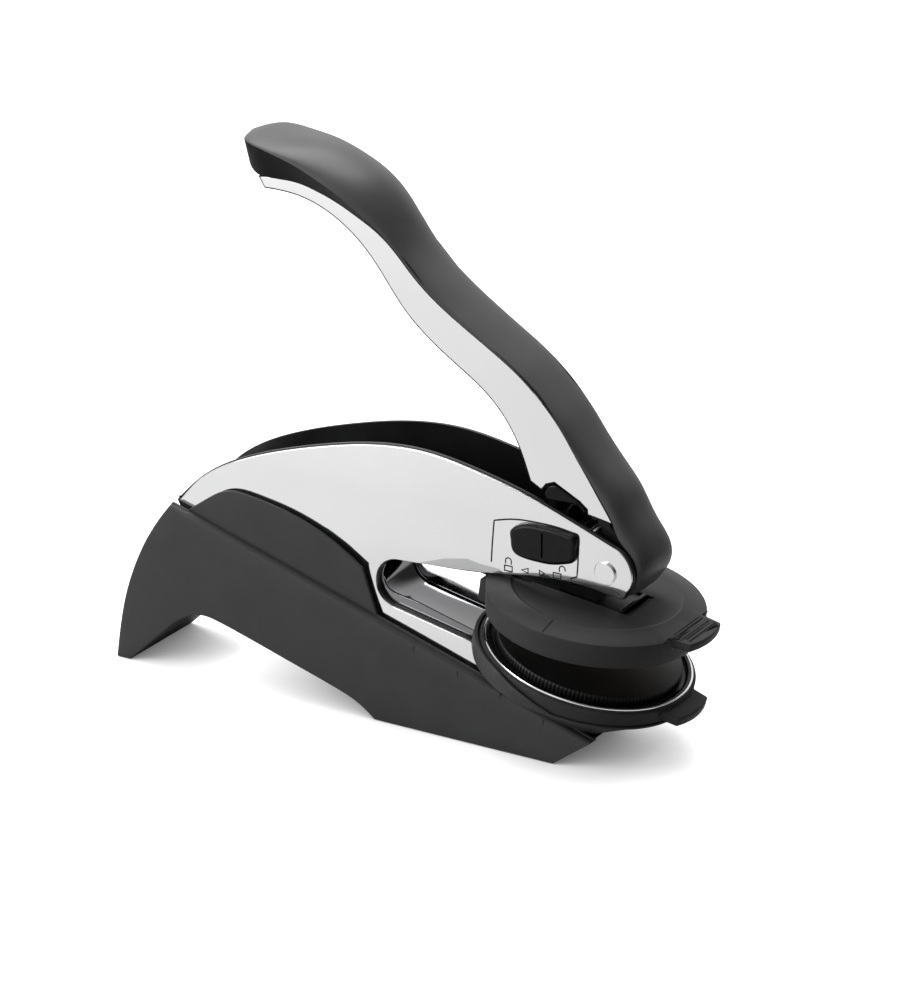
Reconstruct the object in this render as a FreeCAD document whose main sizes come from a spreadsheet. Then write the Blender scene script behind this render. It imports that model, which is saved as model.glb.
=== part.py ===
import FreeCAD, Part

import math
import os

import Sketcher
from FreeCAD import Placement, Rotation, Vector

# Desk seal embosser: a lever turns on a pin at the nose, its cam finger presses a hinged arm,
# and the arm closes the upper die on the lower one. Millimetres; +X is the die end, +Z is up,
# Y = 0 is the middle plane and Z = 0 the surface the embosser stands on. X = 0 is the middle
# of the front resting face.

SIZES = [
    # alias, value (mm, degrees or a count), what it sets
    ("frame_width", 22.0, "outside of one chrome cover to the outside of the other"),
    ("cover_thickness", 0.9, "chromed cover sheet"),
    ("plate_thickness", 0.9, "black side plate behind each cover"),
    ("handle_gap", 0.3, "each side, handle to side plate"),
    ("running_gap", 0.05, "radial clearance of a pin in its bore"),
    ("fit_gap", 0.1, "gap between fixed neighbours"),
    ("pivot_x", 40.5, "handle pivot"),
    ("pivot_z", 54.3, "handle pivot"),
    ("pivot_radius", 2.0, "shaft of the handle pivot"),
    ("rivet_head_radius", 2.8, "head of the handle pivot and the arm hinge pin"),
    ("rivet_head_height", 0.7, "head of the handle pivot and the arm hinge pin"),
    ("nose_radius", 7.8, "rounded front of the covers, round the handle pivot"),
    ("handle_travel", 37.5, "degrees the handle turns to close"),
    ("hinge_x", -36.0, "hinge of the die arm"),
    ("hinge_z", 38.0, "hinge of the die arm"),
    ("hinge_radius", 2.0, "shaft of the arm's hinge"),
    ("arm_travel", 6.54, "degrees the arm turns to close"),
    ("arm_width", 16.0, "width of the die arm"),
    ("die_x", 30.0, "centre of the lower die's rim"),
    ("die_z", 26.4, "centre of the lower die's rim"),
    ("die_tilt", 14.06, "degrees the lower die leans forwards"),
    ("die_radius", 29.0, "both die holders"),
    ("die_wall", 4.2, "rim of both die holders outside the die faces"),
    ("paper_gap", 0.4, "between the die faces when closed"),
    ("lower_wall", 4.8, "height of the lower holder"),
    ("lower_face", 1.6, "lower die face above its rim"),
    ("upper_wall", 6.66, "height of the upper holder's side wall"),
    ("upper_dome", 1.7, "rise of the upper holder's conical top"),
    ("arm_plate_low", -1.3, "underside of the arm's plate from the upper holder's edge"),
    ("arm_plate_thickness", 2.2, "plate that the upper holder slides on"),
    ("throat_x", -21.4, "centre of the throat's round end"),
    ("throat_z", 38.4, "centre of the throat's round end"),
    ("throat_radius", 6.6, "round end of the throat"),
    ("liner_thickness", 1.2, "throat and channel liners"),
    ("liner_rim", 3.0, "height of the throat liner's side walls over the jaws"),
    ("liner_rim_thickness", 0.9, "side walls of the throat liner"),
    ("tie_radius", 2.5, "rods that hold the side plates apart"),
    ("tie_end_radius", 1.5, "riveted ends of the tie rods"),
    ("screw_radius", 1.5, "base screws"),
    ("screw_head_radius", 2.8, "base screws"),
    ("screw_head_height", 1.6, "base screws"),
    ("base_edge_width", 25.6, "base across the crease below its panel"),
    ("base_ledge", 1.5, "how far the base's sides stand out below the crease at the rear"),
    ("base_rear_width", 30.2, "base at the floor, under its rear foot"),
    ("base_front_width", 32.8, "base at the floor, under its front block"),
    ("base_line_slope", 17.2, "degrees the crease falls forwards"),
    ("base_floor", 4.6, "underside of the base's hollow at the front"),
    ("pad_height", 0.2, "how far the rubber pads stand out of the base"),
    ("pad_depth", 0.8, "how deep the rubber pads sit in the base"),
    ("front_pad_length", 44.0, "rubber pad under the front block"),
    ("front_pad_width", 22.0, "rubber pad under the front block"),
    ("rear_pad_length", 3.6, "rubber pad under the rear foot"),
    ("rear_pad_width", 24.0, "rubber pad under the rear foot"),
    ("channel_wall", 1.0, "chromed channel of the handle"),
    ("hub_radius", 7.5, "hub of the handle's core"),
    ("bush_radius", 3.2, "outside of the flanged bushes"),
    ("bush_flange_radius", 5.0, "flange of the bushes"),
    ("cam_reach", 14.3, "handle pivot to cam roller"),
    ("cam_angle", 195.0, "direction of the cam finger at rest, in degrees from +X"),
    ("cam_width", 12.0, "width of the cam"),
    ("roller_radius", 3.2, "cam roller"),
    ("roller_width", 5.6, "cam roller"),
    ("roller_pin_radius", 1.25, "pin of the cam roller"),
    ("roller_gap", 0.3, "roller to wear pad"),
    ("wear_pad_width", 10.0, "pad under the roller"),
    ("lock_pin_radius", 1.5, "pin that enters the handle's catch"),
    ("lock_x", 30.0, "lock pin when unlocked"),
    ("lock_z", 59.0, "lock pin"),
    ("lock_travel", 5.0, "slider's travel towards the rear"),
    ("lock_slot_gap", 0.2, "lock pin to its slot, radially"),
    ("button_length", 18.6, "lock slider"),
    ("button_height", 8.9, "lock slider"),
    ("button_thickness", 1.8, "lock slider"),
    ("spring_x", -50.0, "axis of the return spring"),
    ("spring_base_z", 49.5, "foot of the return spring, on the arm's tail"),
    ("spring_radius", 3.4, "middle of the spring's wire to its axis"),
    ("spring_wire_radius", 0.5, "spring wire"),
    ("spring_turns", 5.0, "coils of the return spring"),
    ("channel_floor_z", 61.5, "top of the channel's floor"),
    ("tab_length", 4.6, "front tabs, beyond the die holders"),
    ("upper_tab_width", 18.6, "front tab of the upper holder"),
    ("lower_tab_width", 18.0, "front tab of the lower holder"),
    ("catch_gap", 0.4, "lock pin to the handle's catch"),
    ("lip_gap", 0.3, "lower die holder to the lip behind it"),
    ("lip_thickness", 1.1, "lip behind the lower die holder"),
]

X_AXIS = Vector(1, 0, 0)
Y_AXIS = Vector(0, 1, 0)
Z_AXIS = Vector(0, 0, 1)

doc = FreeCAD.newDocument("seal_embosser")
sheet = doc.addObject("Spreadsheet::Sheet", "dims")
for row, (alias, value, note) in enumerate(SIZES, start=1):
    sheet.set("A%d" % row, alias)
    sheet.set("B%d" % row, str(value))
    sheet.setAlias("B%d" % row, alias)
    sheet.set("C%d" % row, note)
doc.recompute()

nodes = {}


def size(alias):
    """A driving dimension, read from the sheet."""
    return float(getattr(sheet, alias))


def polar(centre, radius, degrees):
    """Point of the side view at a distance and a direction from a centre."""
    angle = math.radians(degrees)
    return (centre[0] + radius * math.cos(angle), centre[1] + radius * math.sin(angle))


def turned(point, centre, degrees):
    """Side-view point turned about a centre, anticlockwise with X to the right and Z up."""
    angle = math.radians(degrees)
    dx, dz = point[0] - centre[0], point[1] - centre[1]
    return (centre[0] + dx * math.cos(angle) - dz * math.sin(angle),
            centre[1] + dx * math.sin(angle) + dz * math.cos(angle))


class Outline:
    """Closed outline in a sketch plane, drawn end to end from its first point."""

    def __init__(self, start):
        self.first = Vector(start[0], start[1], 0)
        self.last = self.first
        self.edges = []

    def line(self, *points):
        for point in points:
            end = Vector(point[0], point[1], 0)
            self.edges.append(Part.LineSegment(self.last, end))
            self.last = end
        return self

    def arc(self, middle, end):
        stop = Vector(end[0], end[1], 0)
        self.edges.append(Part.Arc(self.last, Vector(middle[0], middle[1], 0), stop))
        self.last = stop
        return self

    def curve(self, *points):
        through = [self.last] + [Vector(point[0], point[1], 0) for point in points]
        spline = Part.BSplineCurve()
        spline.interpolate(through)
        self.edges.append(spline)
        self.last = through[-1]
        return self

    def close(self):
        if self.last.distanceToPoint(self.first) > 1e-6:
            self.edges.append(Part.LineSegment(self.last, self.first))
        return self.edges


def new_body(name):
    body = doc.addObject("PartDesign::Body", name)
    body.Label = name
    return body


def sketch_in(body, name, role, edges):
    """Sketch on one of the body's own origin planes."""
    sketch = body.newObject("Sketcher::SketchObject", name)
    plane = next(feature for feature in body.Origin.OriginFeatures if feature.Role == role)
    sketch.AttachmentSupport = [(plane, "")]
    sketch.MapMode = "FlatFace"
    if edges:
        sketch.addGeometry(edges, False)
    return sketch


def add_circle(sketch, centre, radius_alias, grow_alias=None):
    """Circle whose radius is bound to the sheet, plus a clearance if one is named."""
    formula = "dims.%s" % radius_alias
    radius = size(radius_alias)
    if grow_alias:
        formula += " + dims.%s" % grow_alias
        radius += size(grow_alias)
    index = sketch.addGeometry(Part.Circle(Vector(centre[0], centre[1], 0), Z_AXIS, radius), False)
    rule = sketch.addConstraint(Sketcher.Constraint("Radius", index, radius))
    sketch.setExpression("Constraints[%d]" % rule, formula)


def side_pad(name, edges, width, holes=(), offset=None):
    """Side-view outline padded across Y: about the middle plane, or from an offset towards -Y."""
    body = new_body(name)
    sketch = sketch_in(body, name + "_sketch", "XZ_Plane", edges)
    for hole in holes:
        add_circle(sketch, *hole)
    if offset:
        sketch.setExpression("AttachmentOffset.Base.z", offset)
    pad = body.newObject("PartDesign::Pad", name + "_pad")
    pad.Profile = sketch
    if not offset:
        pad.SideType = "Symmetric"
    pad.setExpression("Length", width)
    return body


def turned_body(name, profile, placement):
    """Body turned about its own Z axis from a half profile of (radius, height) points."""
    body = new_body(name)
    outline = Outline(profile[0]).line(*profile[1:])
    sketch = sketch_in(body, name + "_sketch", "XZ_Plane", outline.close())
    spin = body.newObject("PartDesign::Revolution", name + "_turn")
    spin.Profile = sketch
    spin.ReferenceAxis = (sketch, ["V_Axis"])
    body.Placement = placement
    return body


def flat_pad(name, edges, low, high, placement):
    """Plan-view outline padded along the body's own Z, between two heights."""
    body = new_body(name)
    sketch = sketch_in(body, name + "_sketch", "XY_Plane", edges)
    sketch.AttachmentOffset = Placement(Vector(0, 0, low), Rotation())
    pad = body.newObject("PartDesign::Pad", name + "_pad")
    pad.Profile = sketch
    pad.Length = high - low
    body.Placement = placement
    return body


def cross_rod(name, centre, radius, length, from_y=None):
    """Cylinder along Y through a side-view point, centred on Y = 0 or starting at from_y."""
    rod = doc.addObject("Part::Cylinder", name)
    rod.setExpression("Radius", radius)
    rod.setExpression("Height", length)
    doc.recompute()
    start = float(rod.Height) / 2 if from_y is None else from_y
    rod.Placement = Placement(Vector(centre[0], start, centre[1]), Rotation(X_AXIS, 90))
    return rod


def upright_rod(name, x, z, radius, length):
    """Cylinder along Z, standing at a point of the middle plane."""
    rod = doc.addObject("Part::Cylinder", name)
    rod.setExpression("Radius", radius)
    rod.setExpression("Height", length)
    rod.Placement = Placement(Vector(x, 0, z), Rotation())
    return rod


def block(name, low, high, placement=None):
    """Box between two corners, in the frame of a placement."""
    box = doc.addObject("Part::Box", name)
    box.Length, box.Width, box.Height = [b - a for a, b in zip(low, high)]
    corner = Placement(Vector(*low), Rotation())
    box.Placement = (placement or Placement()).multiply(corner)
    return box


def joined(name, *shapes):
    union = doc.addObject("Part::MultiFuse", name)
    union.Shapes = list(shapes)
    return union


def cut_from(name, base, *tools):
    """Base with the tools cut away."""
    cut = doc.addObject("Part::Cut", name)
    cut.Base = base
    cut.Tool = tools[0] if len(tools) == 1 else joined(name + "_tools", *tools)
    return cut


def common_of(name, first, second):
    shared = doc.addObject("Part::Common", name)
    shared.Base = first
    shared.Tool = second
    return shared


def grouped(name, *shapes):
    group = doc.addObject("Part::Compound", name)
    group.Links = list(shapes)
    return group


def keep(node, item):
    """Label the finished sub-part with its node's name."""
    item.Label = node
    nodes[node] = item
    return item


# --- shared places ------------------------------------------------------------------------------

PIVOT = (size("pivot_x"), size("pivot_z"))
HINGE = (size("hinge_x"), size("hinge_z"))
THROAT = (size("throat_x"), size("throat_z"))
HALF_FRAME = size("frame_width") / 2
HALF_INSIDE = HALF_FRAME - size("cover_thickness") - size("plate_thickness")
HALF_HANDLE = HALF_INSIDE - size("handle_gap")
HALF_POCKET = HALF_FRAME + size("fit_gap")
HANDLE_WIDTH = "dims.frame_width - 2 * (dims.cover_thickness + dims.plate_thickness + dims.handle_gap)"
INSIDE_WIDTH = "dims.frame_width - 2 * (dims.cover_thickness + dims.plate_thickness)"
POCKET_WIDTH = "dims.frame_width + 2 * dims.fit_gap"
HIGH = 90.0   # above every fixed piece, for cuts that stay open at the top
WIDE = 60.0   # beyond every piece, for cuts that pass right through

# The dies share one axis when closed; opening turns the upper one back about the arm's hinge.
LOWER = Placement(Vector(size("die_x"), 0, size("die_z")), Rotation(Y_AXIS, size("die_tilt")))
STACK = size("lower_face") + size("paper_gap") + size("upper_wall")
UPPER_CLOSED = LOWER.multiply(Placement(Vector(0, 0, STACK), Rotation()))
OPENING = Placement(Vector(), Rotation(Y_AXIS, -size("arm_travel")), Vector(HINGE[0], 0, HINGE[1]))
UPPER = OPENING.multiply(UPPER_CLOSED)


def lower_point(u, w):
    """Side-view place of a point u ahead of and w above the lower die's centre."""
    place = LOWER.multVec(Vector(u, 0, w))
    return (place.x, place.z)


def upper_point(u, w):
    """Side-view place of a point u ahead of and w above the upper holder's edge centre."""
    place = UPPER.multVec(Vector(u, 0, w))
    return (place.x, place.z)


def closed_handle(point):
    """Rest place of a handle point that is given where it lies when the handle is closed."""
    return turned(point, PIVOT, -size("handle_travel"))


# --- covers and side plates ---------------------------------------------------------------------

NEST_TOP = -size("lower_wall") - size("fit_gap")
NEST_WEB = 1.7          # nest's top plate over the jaws
JAW_TOP = NEST_TOP - NEST_WEB - size("fit_gap")
JAW_REAR = 0.6 - size("die_radius")     # where the jaws pass under the lower die
JAW_FRONT = 8.5         # front end of the lower jaws, ahead of the die's centre
JAW_SLOPE = -11.8       # degrees the lower jaw falls forwards from the throat
COVER_REAR = (-92.0, 48.4)
HIDDEN_EDGE = [(x, size("base_floor") + rise) for x, rise in
               ((34.8, 6.2), (27.0, 0.6), (-24.0, 0.6), (-52.0, 9.4), (-78.0, 17.9), (-88.0, 26.4))]


def cover_outline():
    """Side plates' outline: hump over the channel, nose round the pivot, throat, lower jaw."""
    nose = size("nose_radius")
    throat = size("throat_radius")
    outline = Outline(COVER_REAR)
    outline.curve((-83.5, 56.9), (-67.7, 65.7), (-46.6, 72.6), (-30.0, 76.3), (-13.5, 77.3),
                  (2.0, 75.0), (18.0, 70.9), (31.5, 66.1), polar(PIVOT, nose, 68))
    outline.arc(polar(PIVOT, nose, 18), polar(PIVOT, nose, -38))
    outline.arc(polar(PIVOT, nose + 0.4, -50), polar(PIVOT, nose - 0.2, -62))
    outline.curve((31.7, 49.3), (17.8, 48.5), (3.5, 46.5), (-9.0, 45.6),
                  (THROAT[0], THROAT[1] + throat))
    outline.arc((THROAT[0] - throat, THROAT[1]), polar(THROAT, throat, 270 + JAW_SLOPE))
    jaw_end = lower_point(JAW_REAR, JAW_TOP)
    start = polar(THROAT, throat, 270 + JAW_SLOPE)
    run = jaw_end[0] - 0.6 - start[0]
    outline.line((jaw_end[0] - 0.6, start[1] + run * math.tan(math.radians(JAW_SLOPE))), jaw_end,
                 lower_point(JAW_FRONT, JAW_TOP))
    outline.line(*HIDDEN_EDGE)
    return outline.close()


LOCK_TOP = size("lock_pin_radius") + size("lock_slot_gap")


def lock_slot(name):
    """Slot in the right-hand side plates that the lock pin runs in."""
    rear = size("lock_x") - size("lock_travel")
    bottom, top = size("lock_z") - LOCK_TOP, size("lock_z") + LOCK_TOP
    slot = Outline((size("lock_x"), top))
    slot.arc((size("lock_x") + LOCK_TOP, size("lock_z")), (size("lock_x"), bottom))
    slot.line((rear, bottom))
    slot.arc((rear - LOCK_TOP, size("lock_z")), (rear, top))
    return side_pad(name, slot.close(), "2 * dims.frame_width", offset="0 mm")


TIE_PLACES = [(-74.0, 48.0), (-62.0, 27.0), (-20.0, 20.0), (14.0, 13.5)]
PIN_HOLES = [(PIVOT, "pivot_radius"), (HINGE, "hinge_radius")]


def side_plates():
    """Chromed cover and black side plate on each side, with holes for pins and tie rods."""
    ties = [(place, "tie_end_radius") for place in TIE_PLACES]
    covers = (("cover", "dims.cover_thickness", PIN_HOLES, "dims.frame_width / 2 - dims.cover_thickness",
               "-dims.frame_width / 2"),
              ("plate", "dims.plate_thickness", PIN_HOLES + ties,
               "dims.frame_width / 2 - dims.cover_thickness - dims.plate_thickness",
               "-(dims.frame_width / 2 - dims.cover_thickness)"))
    for kind, thickness, holes, right, left in covers:
        node = {"cover": "side_cover_", "plate": "frame_plate_"}[kind]
        blank = side_pad(kind + "_blank", cover_outline(), thickness, holes, right)
        keep(node + "right", cut_from(node + "right_cut", blank, lock_slot(kind + "_slot")))
        keep(node + "left", side_pad(node + "left_pad", cover_outline(), thickness, holes, left))


# --- base ---------------------------------------------------------------------------------------

BASE_FRONT_TOP = (39.2, 8.0)
FOOT_BACK = -110.5
FOOT_FRONT = -105.5
REAR_PAD_X = (FOOT_BACK + FOOT_FRONT) / 2


def base_outline():
    """Side view of the base: back, top edge round the covers, sloping front, arch, rear foot."""
    low = size("pad_height")
    outline = Outline((FOOT_BACK, low))
    outline.curve((-107.1, 19.1), (-101.6, 33.3), (-95.0, 44.3), (-91.8, 48.4))
    outline.line((-87.0, 47.0))
    outline.curve((-80.6, 51.6), (-74.0, 55.1), (-66.5, 55.0), (-57.0, 53.3), (-48.5, 50.8),
                  (-37.7, 45.7), (-31.5, 41.6))
    outline.line((-27.0, 29.0), (6.7, 18.5), BASE_FRONT_TOP, (28.4, low), (-26.2, low))
    outline.curve((-31.1, 3.5), (-38.8, 6.5), (-51.6, 10.3), (-64.5, 14.1), (-76.4, 17.4),
                  (-80.7, 18.1), (-84.5, 17.5), (-90.9, 13.9))
    outline.line((FOOT_FRONT, low))
    return outline.close()


def base_pocket():
    """Hollow between the base's side walls that the side plates stand in."""
    gap = size("fit_gap") + 0.1
    front = HIDDEN_EDGE[0]
    outline = Outline((front[0] + gap, HIGH))
    outline.line((front[0] + gap, front[1] - gap))
    outline.line(*[(x, z - gap) for x, z in HIDDEN_EDGE[1:]])
    outline.line((COVER_REAR[0] - gap, COVER_REAR[1] - gap), (COVER_REAR[0] - gap, HIGH))
    return side_pad("base_pocket", outline.close(), POCKET_WIDTH)


SCREW_PLACES = [(TIE_PLACES[2][0], TIE_PLACES[2][1]), (TIE_PLACES[3][0], TIE_PLACES[3][1])]


def base_section(x, ledge, floor_width):
    """Cross-section of the base: sides spreading to the floor, a ledge at the crease, the panel."""
    crease = BASE_FRONT_TOP[1] + (BASE_FRONT_TOP[0] - x) * math.tan(math.radians(size("base_line_slope")))
    half = size("base_edge_width") / 2
    right = [(floor_width / 2, 0.0), (half + ledge, crease - 1.2), (half, crease + 0.8), (half, WIDE)]
    ring = right + [(-y, z) for y, z in reversed(right)]
    corners = [Vector(x, y, z) for y, z in ring]
    return Part.makePolygon(corners + [corners[0]])


def base():
    """Moulded base: sides proud below the crease, wider at the front, and a pocket for the frame."""
    blank = side_pad("base_blank", base_outline(), "dims.base_front_width + 16")
    sides = doc.addObject("Part::Feature", "base_sides")
    ledge = size("base_ledge")
    rear = base_section(FOOT_BACK - 5, ledge, size("base_rear_width"))
    front = base_section(BASE_FRONT_TOP[0] + 5, ledge + 0.6, size("base_front_width"))
    sides.Shape = Part.makeLoft([rear, front], True, True)
    drafted = common_of("base_drafted", blank, sides)
    top = size("pad_height") + size("pad_depth")
    recesses = [block("front_pad_recess", (-size("front_pad_length") / 2, -size("front_pad_width") / 2, -1),
                      (size("front_pad_length") / 2, size("front_pad_width") / 2, top)),
                block("rear_pad_recess", (REAR_PAD_X - size("rear_pad_length") / 2,
                                          -size("rear_pad_width") / 2, -1),
                      (REAR_PAD_X + size("rear_pad_length") / 2, size("rear_pad_width") / 2, top))]
    holes = []
    for index, (x, _) in enumerate(SCREW_PLACES):
        holes.append(upright_rod("screw_hole_%d" % index, x, 0, "dims.screw_radius + dims.fit_gap", "12"))
        holes.append(upright_rod("screw_head_hole_%d" % index, x, 0,
                                 "dims.screw_head_radius + dims.fit_gap",
                                 "dims.pad_height + dims.pad_depth + dims.screw_head_height"))
    heads = cross_rod("hinge_head_pockets", HINGE, "dims.rivet_head_radius + 4 * dims.fit_gap",
                      "dims.frame_width + 2 * dims.rivet_head_height + 4 * dims.fit_gap")
    keep("base_shell", cut_from("base_cut", drafted, base_pocket(), heads, *(recesses + holes)))


def foot_pads():
    """Rubber pads that stand a little out of the base."""
    top = size("pad_height") + size("pad_depth")
    for node, x, length, width in (("foot_pad_front", 0.0, "front_pad_length", "front_pad_width"),
                                   ("foot_pad_rear", REAR_PAD_X, "rear_pad_length", "rear_pad_width")):
        half, side = size(length) / 2, size(width) / 2
        keep(node, block(node + "_box", (x - half, -side, 0), (x + half, side, top)))


# --- fixed pieces between the plates ------------------------------------------------------------

def liners():
    """Channel floor under the closed handle, and the throat's lining: floor, rear end, side walls."""
    thick = size("liner_thickness")
    top = size("channel_floor_z")
    outline = Outline((-89.3, 51.6)).line((-68.0, 59.6), (-60.0, top), (-4.0, top), (-4.0, top - thick),
                                          (-59.8, top - thick), (-67.6, 59.6 - thick), (-88.6, 51.6 - thick))
    keep("channel_liner", side_pad("channel_liner_pad", outline.close(), INSIDE_WIDTH))
    inner, outer = size("throat_radius"), size("throat_radius") + thick
    slope = math.tan(math.radians(JAW_SLOPE))
    floor = polar(THROAT, inner, 270 + JAW_SLOPE)
    under = polar(THROAT, outer, 270 + JAW_SLOPE)
    front = lower_point(JAW_REAR, JAW_TOP)[0] - 0.8
    liner = Outline(polar(THROAT, inner, 150)).arc(polar(THROAT, inner, 200), floor)
    liner.line((front, floor[1] + (front - floor[0]) * slope))
    liner.line((front, under[1] + (front - under[0]) * slope), under)
    liner.arc(polar(THROAT, outer, 200), polar(THROAT, outer, 150))
    lining = side_pad("throat_liner_pad", liner.close(), INSIDE_WIDTH)
    rim = size("liner_rim")
    edge = polar(THROAT, inner - rim, 270 + JAW_SLOPE)
    wall = Outline(polar(THROAT, inner, 110)).arc(polar(THROAT, inner, 190), floor)
    wall.line((front, floor[1] + (front - floor[0]) * slope))
    wall.line((front, edge[1] + (front - edge[0]) * slope - rim / 4), edge)
    wall.arc(polar(THROAT, inner - rim, 200), polar(THROAT, inner - rim, 150))
    wall = wall.close()
    thickness = "dims.liner_rim_thickness"
    inward = "%f - dims.liner_rim_thickness" % HALF_INSIDE
    walls = [side_pad("throat_wall_right", wall, thickness, offset=inward),
             side_pad("throat_wall_left", wall, thickness, offset="%f" % -HALF_INSIDE)]
    keep("throat_liner", joined("throat_liner_body", lining, *walls))


def oval(half_length, half_width, middle, power):
    """Closed smooth curve: a circle at power 2, a rounded rectangle at higher powers."""
    points = []
    for step in range(24):
        angle = 2 * math.pi * step / 24
        c, s = math.cos(angle), math.sin(angle)
        points.append(Vector(middle + half_length * math.copysign(abs(c) ** (2 / power), c),
                             half_width * math.copysign(abs(s) ** (2 / power), s), 0))
    ring = Part.BSplineCurve()
    ring.interpolate(points, PeriodicFlag=True)
    return [ring]


def die_nest():
    """Keel under the lower die: round at the die, narrowing to the base, slotted for the jaws."""
    bottom = -16.0
    body = new_body("nest_loft")
    top_ring = oval(size("die_radius") - 0.5, size("die_radius") - 0.5, 0, 2)
    top_sketch = sketch_in(body, "nest_top", "XY_Plane", top_ring)
    top_sketch.AttachmentOffset = Placement(Vector(0, 0, NEST_TOP), Rotation())
    foot_ring = oval(19.0, size("base_edge_width") / 2, -6.2, 4)
    foot_sketch = sketch_in(body, "nest_foot", "XY_Plane", foot_ring)
    foot_sketch.AttachmentOffset = Placement(Vector(0, 0, bottom), Rotation())
    loft = body.newObject("PartDesign::AdditiveLoft", "nest_loft_feature")
    loft.Profile = top_sketch
    loft.Sections = [foot_sketch]
    loft.Ruled = True
    body.Placement = LOWER
    gap = size("fit_gap")
    slot = block("nest_slot", (-WIDE, -HALF_POCKET, -WIDE),
                 (JAW_FRONT + gap, HALF_POCKET, JAW_TOP + gap), LOWER)
    base_tool = side_pad("nest_base_tool", base_outline(), "2 * dims.frame_width + 40")
    keel = cut_from("nest_keel", body, slot, base_tool)
    inside = size("die_radius") + size("lip_gap")
    outside = inside + size("lip_thickness")
    lip = turned_body("nest_lip", [(inside - 1.6, NEST_TOP - 1.4), (outside - 1.0, NEST_TOP - 1.4),
                                   (outside, NEST_TOP), (outside, -1.0), (outside - 0.4, -0.6),
                                   (inside, -0.6), (inside, NEST_TOP), (inside - 1.6, NEST_TOP)], LOWER)
    ahead = block("lip_front_room", (-6.0, -WIDE, -WIDE), (WIDE, WIDE, WIDE), LOWER)
    between = block("lip_jaw_room", (-WIDE, -HALF_POCKET, -WIDE), (WIDE, HALF_POCKET, WIDE), LOWER)
    keep("die_nest", joined("die_nest_body", keel, cut_from("nest_lip_cut", lip, ahead, between)))


def riveted_pin(node, centre, radius):
    """Pin through both covers with a low head on each side."""
    shaft = cross_rod(node + "_shaft", centre, "dims." + radius, "dims.frame_width")
    head = size("rivet_head_height")
    heads = [cross_rod(node + "_head_right", centre, "dims.rivet_head_radius", "dims.rivet_head_height",
                       -HALF_FRAME),
             cross_rod(node + "_head_left", centre, "dims.rivet_head_radius", "dims.rivet_head_height",
                       HALF_FRAME + head)]
    keep(node, joined(node + "_pin", shaft, *heads))


def tie_rods_and_screws():
    """Rods between the side plates; two of them take the base screws."""
    rods = []
    reach = "dims.frame_width - 2 * dims.cover_thickness"
    for index, place in enumerate(TIE_PLACES):
        body = cross_rod("tie_body_%d" % index, place, "dims.tie_radius", INSIDE_WIDTH)
        ends = cross_rod("tie_ends_%d" % index, place, "dims.tie_end_radius", reach)
        rod = joined("tie_rod_%d" % index, body, ends)
        if place in SCREW_PLACES:
            bore = upright_rod("tie_bore_%d" % index, place[0], 0, "dims.screw_radius", "%f" % place[1])
            rod = cut_from("tie_drilled_%d" % index, rod, bore)
        rods.append(rod)
    keep("tie_rods", grouped("tie_rod_group", *rods))
    seat = size("pad_height") + size("pad_depth")
    screws = []
    for index, (x, z) in enumerate(SCREW_PLACES):
        head = upright_rod("screw_head_%d" % index, x, seat, "dims.screw_head_radius",
                           "dims.screw_head_height")
        shank = upright_rod("screw_shank_%d" % index, x, seat, "dims.screw_radius",
                            "%f" % (z - seat - size("fit_gap")))
        screws.append(joined("screw_%d" % index, head, shank))
    keep("base_screws", grouped("base_screw_group", *screws))


SPRING_TOP = size("channel_floor_z") - size("liner_thickness") - 2.0


def spring_seat():
    """Cross block under the channel floor with a peg in the return spring."""
    low, high = SPRING_TOP, size("channel_floor_z") - size("liner_thickness")
    half = 6.0
    seat = block("seat_block", (size("spring_x") - half, -HALF_INSIDE, low),
                 (size("spring_x") + half, HALF_INSIDE, high))
    peg = upright_rod("seat_peg", size("spring_x"), low - 3.0,
                      "dims.spring_radius - 2 * dims.spring_wire_radius", "3.0")
    keep("spring_seat", joined("spring_seat_body", seat, peg))


# --- die arm ------------------------------------------------------------------------------------

ARM_EYE = 4.7
PLATE_FRONT = 11.4      # front end of the arm's plate, ahead of the upper die's centre
PLATE_REAR = -28.5


def roller_path():
    """Centre of the roller, seen from the arm, at the start, the middle and the end of travel."""
    places = []
    for share in (0.0, 0.5, 1.0):
        centre = polar(PIVOT, size("cam_reach"), size("cam_angle") + share * size("handle_travel"))
        places.append(turned(centre, HINGE, share * size("arm_travel")))
    return places


def circle_through(first, middle, last):
    """Centre and radius of the circle through three side-view points."""
    circle = Part.Circle(*[Vector(x, z, 0) for x, z in (first, middle, last)])
    return (circle.Center.x, circle.Center.y), circle.Radius


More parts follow.
